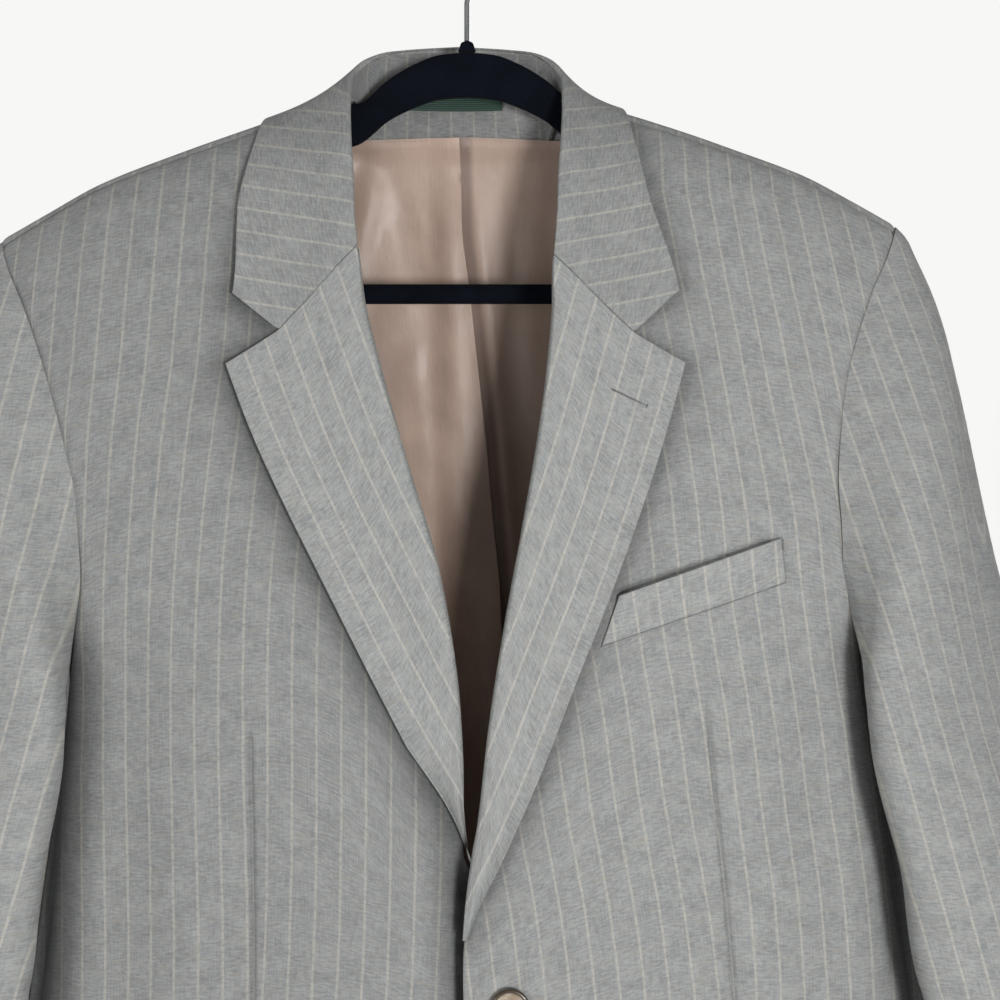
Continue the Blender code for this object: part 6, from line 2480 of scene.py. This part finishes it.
HOLE_STITCH = Stitch(0.55, 0.7, 0.13, 90.0)
HOLE_BAR = Stitch(0.4, 0.9, 0.16, 90.0)
WELT_TACK = Stitch(0.9, 1.6, 0.2, 90.0)
NECK_STITCH = Stitch(3.0, 1.7, 0.16, 8.0)
PLEAT_TACK = Stitch(0.7, 1.8, 0.2, 90.0)
LABEL_STITCH = Stitch(2.2, 1.3, 0.13, 0.0)
BUTTON_STITCH = Stitch(0.5, 1.1, 0.26, 0.0)


@dataclass
class Sewing:
    """The threads that show, set along their seams by the stitch tree."""

    room: Workroom
    tree: bpy.types.NodeTree
    seed: int = 7
    facing: tuple[float, float, float] = (0.0, -1.0, 0.0)

    def run(self, name: str, path: Array, stitch: Stitch, thread: bpy.types.Material) -> bpy.types.Mesh:
        """Set threads along one path and return them as a plain mesh.

        Args:
            name: of the run.
            path: points in metres.
            stitch: its kind.
            thread: the material.

        Returns:
            the threads.
        """
        mesh = bpy.data.meshes.new(name)
        mesh.from_pydata(path.tolist(), [(i, i + 1) for i in range(len(path) - 1)], [])
        holder = bpy.data.objects.new(name, mesh)
        bpy.context.scene.collection.objects.link(holder)
        modifier = holder.modifiers.new("threads", "NODES")
        modifier.node_group = self.tree
        self.seed += 1
        wanted = {"Spacing": stitch.spacing * MM, "Length": stitch.length * MM,
                  "Radius": stitch.radius * MM, "Turn": math.radians(stitch.turn),
                  "Facing": self.facing, "Seed": self.seed, "Thread": thread}
        for item in self.tree.interface.items_tree:
            if item.name in wanted:
                modifier[item.identifier] = wanted[item.name]
        graph = bpy.context.evaluated_depsgraph_get()
        made = bpy.data.meshes.new_from_object(holder.evaluated_get(graph), depsgraph=graph)
        holder.modifiers.remove(modifier)
        bpy.data.objects.remove(holder)
        return made

    def gather(self, name: str, runs: Sequence[bpy.types.Mesh], slot: str,
               thread: bpy.types.Material) -> None:
        """Join several runs of thread into one piece and hand it over.

        Args:
            name: of the piece.
            runs: the threads.
            slot: the material slot.
            thread: the material.
        """
        points, faces, start = [], [], 0
        for mesh in runs:
            co = np.zeros(len(mesh.vertices) * 3, np.float32)
            mesh.vertices.foreach_get("co", co)
            points.append(co.reshape(-1, 3))
            faces += [tuple(start + i for i in polygon.vertices) for polygon in mesh.polygons]
            start += len(mesh.vertices)
            bpy.data.meshes.remove(mesh)
        piece = make_piece(name, np.concatenate(points).astype(float), faces, [thread])
        self.room.hand_over(piece, [], slot)

    def buttonhole(self, name: str, lift: Callable[[Array, Array], Array], start: Spot, end: Spot,
                   thread: bpy.types.Material) -> list[bpy.types.Mesh]:
        """Return the overcast threads of one worked buttonhole.

        Args:
            name: of the buttonhole.
            lift: gives points in metres on the cloth for x and z in mm.
            start: one end of the slit.
            end: the other end.
            thread: the material.

        Returns:
            the runs on both sides of the slit and its bar.
        """
        share = np.linspace(0.0, 1.0, 14)
        x, z = start.x + (end.x - start.x) * share, start.z + (end.z - start.z) * share
        run = unit(np.array([end.x - start.x, end.z - start.z]))
        runs = []
        for way in (-1.0, 1.0):
            path = lift(x - run[1] * 0.3 * way, z + run[0] * 0.3 * way)
            runs.append(self.run(name, path, HOLE_STITCH, thread))
        bar_x = end.x - run[1] * np.linspace(-1.0, 1.0, 5)
        bar_z = end.z + run[0] * np.linspace(-1.0, 1.0, 5)
        runs.append(self.run(name, lift(bar_x, bar_z), HOLE_BAR, thread))
        return runs

    def on_front(self, offset: float) -> Callable[[Array, Array], Array]:
        """Return a function that lays places on the over front at an offset."""
        form = self.room.form
        return lambda x, z: form.place(form.on_body(x, z, Face.FRONT, np.full(x.shape, offset)))

    def on_leaf(self, x: Array, z: Array) -> Array:
        """Lay places on the over lapel's face."""
        form = self.room.form
        return form.place(form.on_body(x, z, Face.FRONT, leaf_lift((x - 46.0) / 67.0) + 0.35))

    def wool(self, buttons: Buttons) -> None:
        """Sew the buttonholes and the welt's tack.

        Args:
            buttons: give the places of their holes.
        """
        grey = self.room.finishes.grey
        runs = self.buttonhole("lapel_hole", self.on_leaf, *LAPEL_HOLE, grey)
        for z in buttons.heights:
            runs += self.buttonhole("front_hole", self.on_front(0.1), Spot(buttons.x - 3.0, z),
                                    Spot(buttons.x + 19.0, z), grey)
        tack = self.on_front(2.1)(np.full(6, 168.6), np.linspace(-341.0, -346.0, 6))
        runs.append(self.run("welt_tack", tack, WELT_TACK, grey))
        self.gather("wool_sewing", runs, "wool", grey)

    def lining(self, lining: BackLining) -> None:
        """Sew the lining's neck seam and the pleat's tack.

        Args:
            lining: gives the height of its seam.
        """
        form, mauve = self.room.form, self.room.finishes.mauve
        x = np.linspace(-52.0, 52.0, 60)
        row = form.row_of_height(x, lining.seam_z(x) - 1.2, Face.BACK)
        seam = form.body(x, row, Face.BACK) - form.normal(x, row, Face.BACK) * 7.2
        runs = [self.run("neck_seam", form.place(seam), NECK_STITCH, mauve)]
        z = np.linspace(-134.0, -144.0, 8)[:4]
        x = SmoothCurve(PLEAT_EDGE, "z", "x")(z) + 0.4
        tack = form.on_body(x, z, Face.BACK, np.full(z.shape, -6.6))
        runs.append(self.run("pleat_tack", form.place(tack), PLEAT_TACK, mauve))
        self.gather("lining_sewing", runs, "lining", mauve)

    def label(self, collar: Collar) -> None:
        """Sew round the label.

        Args:
            collar: gives the label's cloth.
        """
        green = self.room.finishes.green
        strip = collar.label_grid(collar.stand_grid()).outer
        border = np.concatenate([strip[1, 1:-1], strip[1:-1, -2], strip[-2, -2:0:-1], strip[-2:0:-1, 1]])
        border = self.room.form.place(border + 0.15 * FORWARD)
        runs = [self.run("label_edge", border, LABEL_STITCH, green)]
        self.gather("label_sewing", runs, "label", green)

    def buttons(self, buttons: Buttons) -> None:
        """Sew the buttons on, with two pairs of bars in each.

        Args:
            buttons: give their places and the places of their holes.
        """
        grey, out = self.room.finishes.grey, buttons.hole_place
        runs = []
        for z in buttons.heights:
            centre = buttons.centre(z) + (buttons.thick - 1.05) * FORWARD
            for height in (-out, out):
                for side in (-0.3, 0.3):
                    ends = [centre + np.array([across, 0.0, height + side]) for across in (-out, out)]
                    runs.append(self.run("button_bar", np.array(ends) * MM, BUTTON_STITCH, grey))
        self.gather("button_sewing", runs, "wool", grey)


# ---------------------------------------------------------------- the hanger
@dataclass
class Hanger:
    """The slim flocked hanger with its crossbar, nub and wire hook, in mm in the frame."""

    room: Workroom
    arm_thick: float = 6.0
    arm_reach: float = 211.7
    arm_room: float = 2.2
    arm_deep: float = 25.0
    arm_taper: float = 9.0
    bar_z: float = -206.3
    bar_height: float = 11.0
    bar_thick: float = 7.0
    bar_reach: float = 172.0
    bar_bend: float = 22.0
    bar_end_gap: float = 2.9
    wire_radius: float = 1.5
    hook_inner: float = 18.0
    hook_start: float = -50.0
    hook_sweep: float = 250.0
    bend_foot: float = -46.0
    nub_top: float = -66.7
    nub_flatness: float = 0.62
    ring_sides: int = 20
    wire_sides: int = 14
    nub_sides: int = 32

    def arm_heights(self, x: Array) -> tuple[Array, Array]:
        """Return the top and bottom of the arms at distances across.

        Args:
            x: places across, in mm in the frame.

        Returns:
            heights, in mm in the frame.
        """
        form = self.room.form
        away = np.abs(x)
        local = x - form.drift(-120.0)
        nearer = np.where(local > 0, local + form.shoulder_shift * ramp(local, 100.0, 180.0), local)
        rest = form.ridge(np.abs(nearer)) - form.droop(local)
        rest = rest - form.wool - self.arm_room - self.arm_room * ramp(away, 150.0, 210.0)
        beyond = ramp(away, 52.0, 70.0)
        neck = SmoothCurve(NECK_TOP, "x", "z")(away)
        top = np.minimum(neck * (1 - beyond) + rest * beyond, np.where(away > 62, rest, 0.0))
        deep = self.arm_deep - self.arm_taper * ramp(away, 60.0, 210.0)
        bottom = SmoothCurve(NECK_UNDERSIDE, "x", "z")(away) * (1 - beyond) + (rest - deep) * beyond
        return top, bottom

    def capped(self, name: str, rings: Array, material: bpy.types.Material, node: str, slot: str) -> None:
        """Join rings of points into one closed bar and hand it over.

        Args:
            name: of the piece.
            rings: rings by points by 3, in mm in the frame.
            material: of the piece.
            node: what it replaces.
            slot: its material slot.
        """
        count, sides = rings.shape[:2]
        points = np.concatenate([rings[0].mean(axis=0, keepdims=True), rings.reshape(-1, 3),
                                 rings[-1].mean(axis=0, keepdims=True)])
        piece = make_piece(name, points * MM, turned_faces(count, sides), [material], crisp=70.0)
        self.room.hand_over(piece, [node], slot)

    def arms(self) -> None:
        """Build both arms as one slim body with soft edges and rounded ends."""
        reach = self.arm_reach
        inner = np.linspace(-1.0, 1.0, 181)
        x = reach * np.sign(inner) * np.abs(inner) ** 1.2
        cap = reach - np.array([0.0, 0.05, 0.3, 0.9, 2.0, 3.6])
        x = np.sort(np.unique(np.concatenate([x[np.abs(x) < reach - 5.0], cap, -cap])))
        top, bottom = self.arm_heights(x)
        closing = np.sqrt(np.clip(1.0 - ((np.abs(x) - reach + 8.0) / 8.05).clip(0, 1) ** 2, 0.0, 1.0))
        middle, half = (top + bottom) / 2.0, (top - bottom) / 2.0 * closing
        angle = 2.0 * math.pi * (np.arange(self.ring_sides) + 0.5) / self.ring_sides
        bulge = np.sign(np.cos(angle)) * np.abs(np.cos(angle)) ** 0.42
        rise = np.sign(np.sin(angle)) * np.abs(np.sin(angle)) ** 0.62
        slim = self.arm_thick / 2.0 * np.sqrt(np.clip(closing, 0.05, 1.0))
        rings = np.stack([np.broadcast_to(x[:, None], (len(x), self.ring_sides)),
                          slim[:, None] * bulge[None, :],
                          middle[:, None] + half[:, None] * rise[None, :]], axis=-1)
        self.capped("hanger_arms_flocked", rings, self.room.finishes.flock, "hanger_arms", "flock")

    def tube(self, path: Array, half_high: float, half_thick: float, sides: int) -> Array:
        """Return rings of oval section along a path in the hanger's plane.

        Args:
            path: points of x and z, in mm in the frame.
            half_high: half the section's height.
            half_thick: half its thickness.
            sides: points in each ring.

        Returns:
            rings by points by 3.
        """
        along = unit(np.gradient(path, axis=0))
        up = np.stack([-along[:, 1], along[:, 0]], axis=-1)
        angle = 2.0 * math.pi * (np.arange(sides) + 0.5) / sides
        rise = up[:, None, :] * half_high * np.sin(angle)[None, :, None]
        y = np.broadcast_to(half_thick * np.cos(angle)[None, :], rise.shape[:2])
        return np.stack([path[:, None, 0] + rise[..., 0], y, path[:, None, 1] + rise[..., 1]], axis=-1)

    def bar(self) -> None:
        """Build the crossbar, whose ends bend up to the arms."""
        angle = np.radians(np.linspace(-90.0, 0.0, 15))
        bend = np.stack([self.bar_reach - self.bar_bend + self.bar_bend * np.cos(angle),
                         self.bar_z + self.bar_bend + self.bar_bend * np.sin(angle)], axis=-1)
        ends = [float(self.arm_heights(np.array([s * self.bar_reach]))[1][0]) - self.bar_end_gap
                for s in (-1.0, 1.0)]
        rise = [np.linspace(self.bar_z + self.bar_bend, end, 6)[1:] for end in ends]
        left_up = np.stack([np.full(5, -self.bar_reach), rise[0]], axis=-1)[::-1]
        right_up = np.stack([np.full(5, self.bar_reach), rise[1]], axis=-1)
        flat = np.stack([np.linspace(-140.0, 140.0, 21), np.full(21, self.bar_z)], axis=-1)
        path = np.concatenate([left_up, (bend * np.array([-1.0, 1.0]))[::-1], flat, bend, right_up])
        rings = self.tube(path, self.bar_height / 2.0, self.bar_thick / 2.0, self.ring_sides)
        self.capped("hanger_bar_flocked", rings, self.room.finishes.flock, "hanger_bar", "flock")

    def hook(self) -> None:
        """Build the wire hook: a stem, a bend and a round loop open on one side."""
        radius = self.hook_inner + self.wire_radius
        leave = math.radians(self.hook_start)
        joint = np.array([radius * math.cos(leave), -self.hook_inner + radius * math.sin(leave)])
        lead = joint - 5.0 * np.array([math.sin(-leave), math.cos(leave)])
        corners = [np.array([0.0, self.bend_foot]), np.array([0.0, self.bend_foot + 7.0]), lead, joint]
        t = np.linspace(0.0, 1.0, 15)[:-1, None]
        bend = (1 - t) ** 3 * corners[0] + 3 * t * (1 - t) ** 2 * corners[1]
        bend = bend + 3 * t * t * (1 - t) * corners[2] + t**3 * corners[3]
        angle = leave + np.radians(self.hook_sweep) * np.linspace(0.0, 1.0, 60)
        loop = np.stack([radius * np.cos(angle), -self.hook_inner + radius * np.sin(angle)], axis=-1)
        stem = np.stack([np.zeros(5), np.linspace(self.nub_top + 0.3, self.bend_foot - 3.0, 5)], axis=-1)
        path = np.concatenate([stem, bend, loop])
        rings = self.tube(path, self.wire_radius, self.wire_radius, self.wire_sides)
        ends = np.sqrt(1.0 - np.linspace(0.92, 0.0, 4) ** 2)
        tip = rings[-1].mean(axis=0)
        away = unit(np.array([path[-1, 0] - path[-2, 0], 0.0, path[-1, 1] - path[-2, 1]]))
        rounded = [tip + (rings[-1] - tip) * s + away * self.wire_radius * h
                   for s, h in zip(ends[::-1][1:], (0.4, 0.7, 0.92))]
        rings = np.concatenate([rings, np.array(rounded)])
        self.capped("hanger_hook_wire", rings, self.room.finishes.wire, "hanger_hook", "wire")

    def nub(self) -> None:
        """Build the nub that the wire turns in."""
        foot = float(self.arm_heights(np.array([0.0]))[0][0]) + 0.3
        high = self.nub_top - foot
        outline = [(4.6, 0.0), (4.9, 0.3), (4.7, 1.0), (4.3, 2.0), (4.0, 3.2), (3.8, high - 2.2),
                   (3.5, high - 1.2), (2.9, high - 0.5), (2.0, high - 0.1), (1.6, high)]
        angle = 2.0 * math.pi * np.arange(self.nub_sides) / self.nub_sides
        rings = np.array([np.stack([r * np.cos(angle), self.nub_flatness * r * np.sin(angle),
                                    np.full(self.nub_sides, foot + h)], axis=-1) for r, h in outline])
        self.capped("hanger_nub_flocked", rings, self.room.finishes.flock, "hanger_nub", "flock")

    def build(self) -> None:
        """Build the whole hanger."""
        self.arms()
        self.bar()
        self.nub()
        self.hook()


# ---------------------------------------------------------------- the studio
class Lamp(NamedTuple):
    """One soft round light: its place and size in metres, and its power in watts."""

    name: str
    place: tuple[float, float, float]
    size: float
    watts: float


@dataclass
class Studio:
    """A pale floor, soft light and the camera in front of the chest."""

    lamps: tuple[Lamp, ...] = table(
        Lamp, ("window", (0.80, -2.3, -0.60), 0.45, 32.0), ("room", (-1.7, -2.0, -0.60), 1.2, 16.0),
        ("behind", (0.9, 2.4, 0.2), 1.4, 16.0))
    aim: tuple[float, float, float] = (0.0, 0.0, -0.38)
    camera_place: tuple[float, float, float] = (0.01825, -1.010, -0.320)
    lens: float = 65.8
    sensor: float = 36.0
    floor_z: float = -0.96
    floor_half: float = 4.0
    backdrop: float = 0.93
    fill: float = 0.19

    def light(self, lamp: Lamp) -> None:
        """Add one soft light that looks at the chest.

        Args:
            lamp: its place, size and power.
        """
        light = bpy.data.lights.new(lamp.name, "AREA")
        light.shape = "DISK"
        light.size = lamp.size
        light.energy = lamp.watts
        holder = bpy.data.objects.new(lamp.name, light)
        holder.location = lamp.place
        away = np.array(lamp.place) - np.array(self.aim)
        flat = math.hypot(away[0], away[1])
        holder.rotation_euler = (math.atan2(flat, away[2]), 0.0, math.atan2(away[0], -away[1]))
        bpy.context.scene.collection.objects.link(holder)

    def world(self) -> None:
        """Set a pale backdrop that also fills the shadows."""
        world = bpy.data.worlds.new("pale_room")
        bpy.context.scene.world = world
        world.use_nodes = True
        graph = NodeGraph(world.node_tree)
        graph.tree.nodes.clear()
        seen = graph.out("ShaderNodeBackground", colour(1.0, 1.0, 0.985), self.backdrop)
        soft = graph.out("ShaderNodeBackground", colour(1.0, 1.0, 1.0), self.fill)
        path = graph.add("ShaderNodeLightPath").outputs["Is Camera Ray"]
        graph.add("ShaderNodeOutputWorld", graph.out("ShaderNodeMixShader", path, soft, seen))

    def build(self) -> None:
        """Add the camera, the floor, the world and the lights."""
        scene = bpy.context.scene
        scene.view_settings.view_transform = "Standard"
        camera = bpy.data.cameras.new("camera")
        camera.lens, camera.sensor_width = self.lens, self.sensor
        holder = bpy.data.objects.new("camera", camera)
        holder.location = self.camera_place
        holder.rotation_euler = (math.pi / 2.0, 0.0, 0.0)
        scene.collection.objects.link(holder)
        scene.camera = holder
        half, low = self.floor_half, self.floor_z
        mesh = bpy.data.meshes.new("floor")
        mesh.from_pydata([(-half, -half, low), (half, -half, low), (half, half, low), (-half, half, low)],
                         [], [(0, 1, 2, 3)])
        mesh.materials.append(PaleFloor().make())
        floor = bpy.data.objects.new("floor", mesh)
        scene.collection.objects.link(floor)
        self.world()
        for lamp in self.lamps:
            self.light(lamp)


def main() -> None:
    """Build every sub-assembly in order."""
    logging.basicConfig(level=logging.INFO, format="%(name)s %(message)s")
    form = GarmentForm()
    room = Workroom(form, Finishes())
    stripes = Stripes()
    Studio().build()
    Hanger(room).build()
    backs, panels = Backs(room), SidePanels(room)
    Fronts(room, stripes).build()
    backs.build()
    panels.build()
    Lapel(room, "lapel_over", Side.LEFT, -549.0, OVER_LAPEL_EDGE, 7.6, 12.1, 0.0).build()
    Lapel(room, "lapel_under", Side.RIGHT, -520.0, UNDER_LAPEL_EDGE, 11.6, 12.84, 5.0).build()
    collar = Collar(room)
    collar.build()
    for side, first, step in ((Side.LEFT, 183.9, 13.17), (Side.RIGHT, 187.6, 14.35)):
        Sleeve(room, side, panels, backs, first, step).build()
    lining = BackLining(room, backs)
    lining.build()
    Pockets(room, stripes).build()
    buttons = Buttons(room)
    buttons.build()
    sewing = Sewing(room, StitchTree().make())
    sewing.wool(buttons)
    sewing.lining(lining)
    sewing.label(collar)
    sewing.buttons(buttons)


if __name__ == "__main__":
    main()
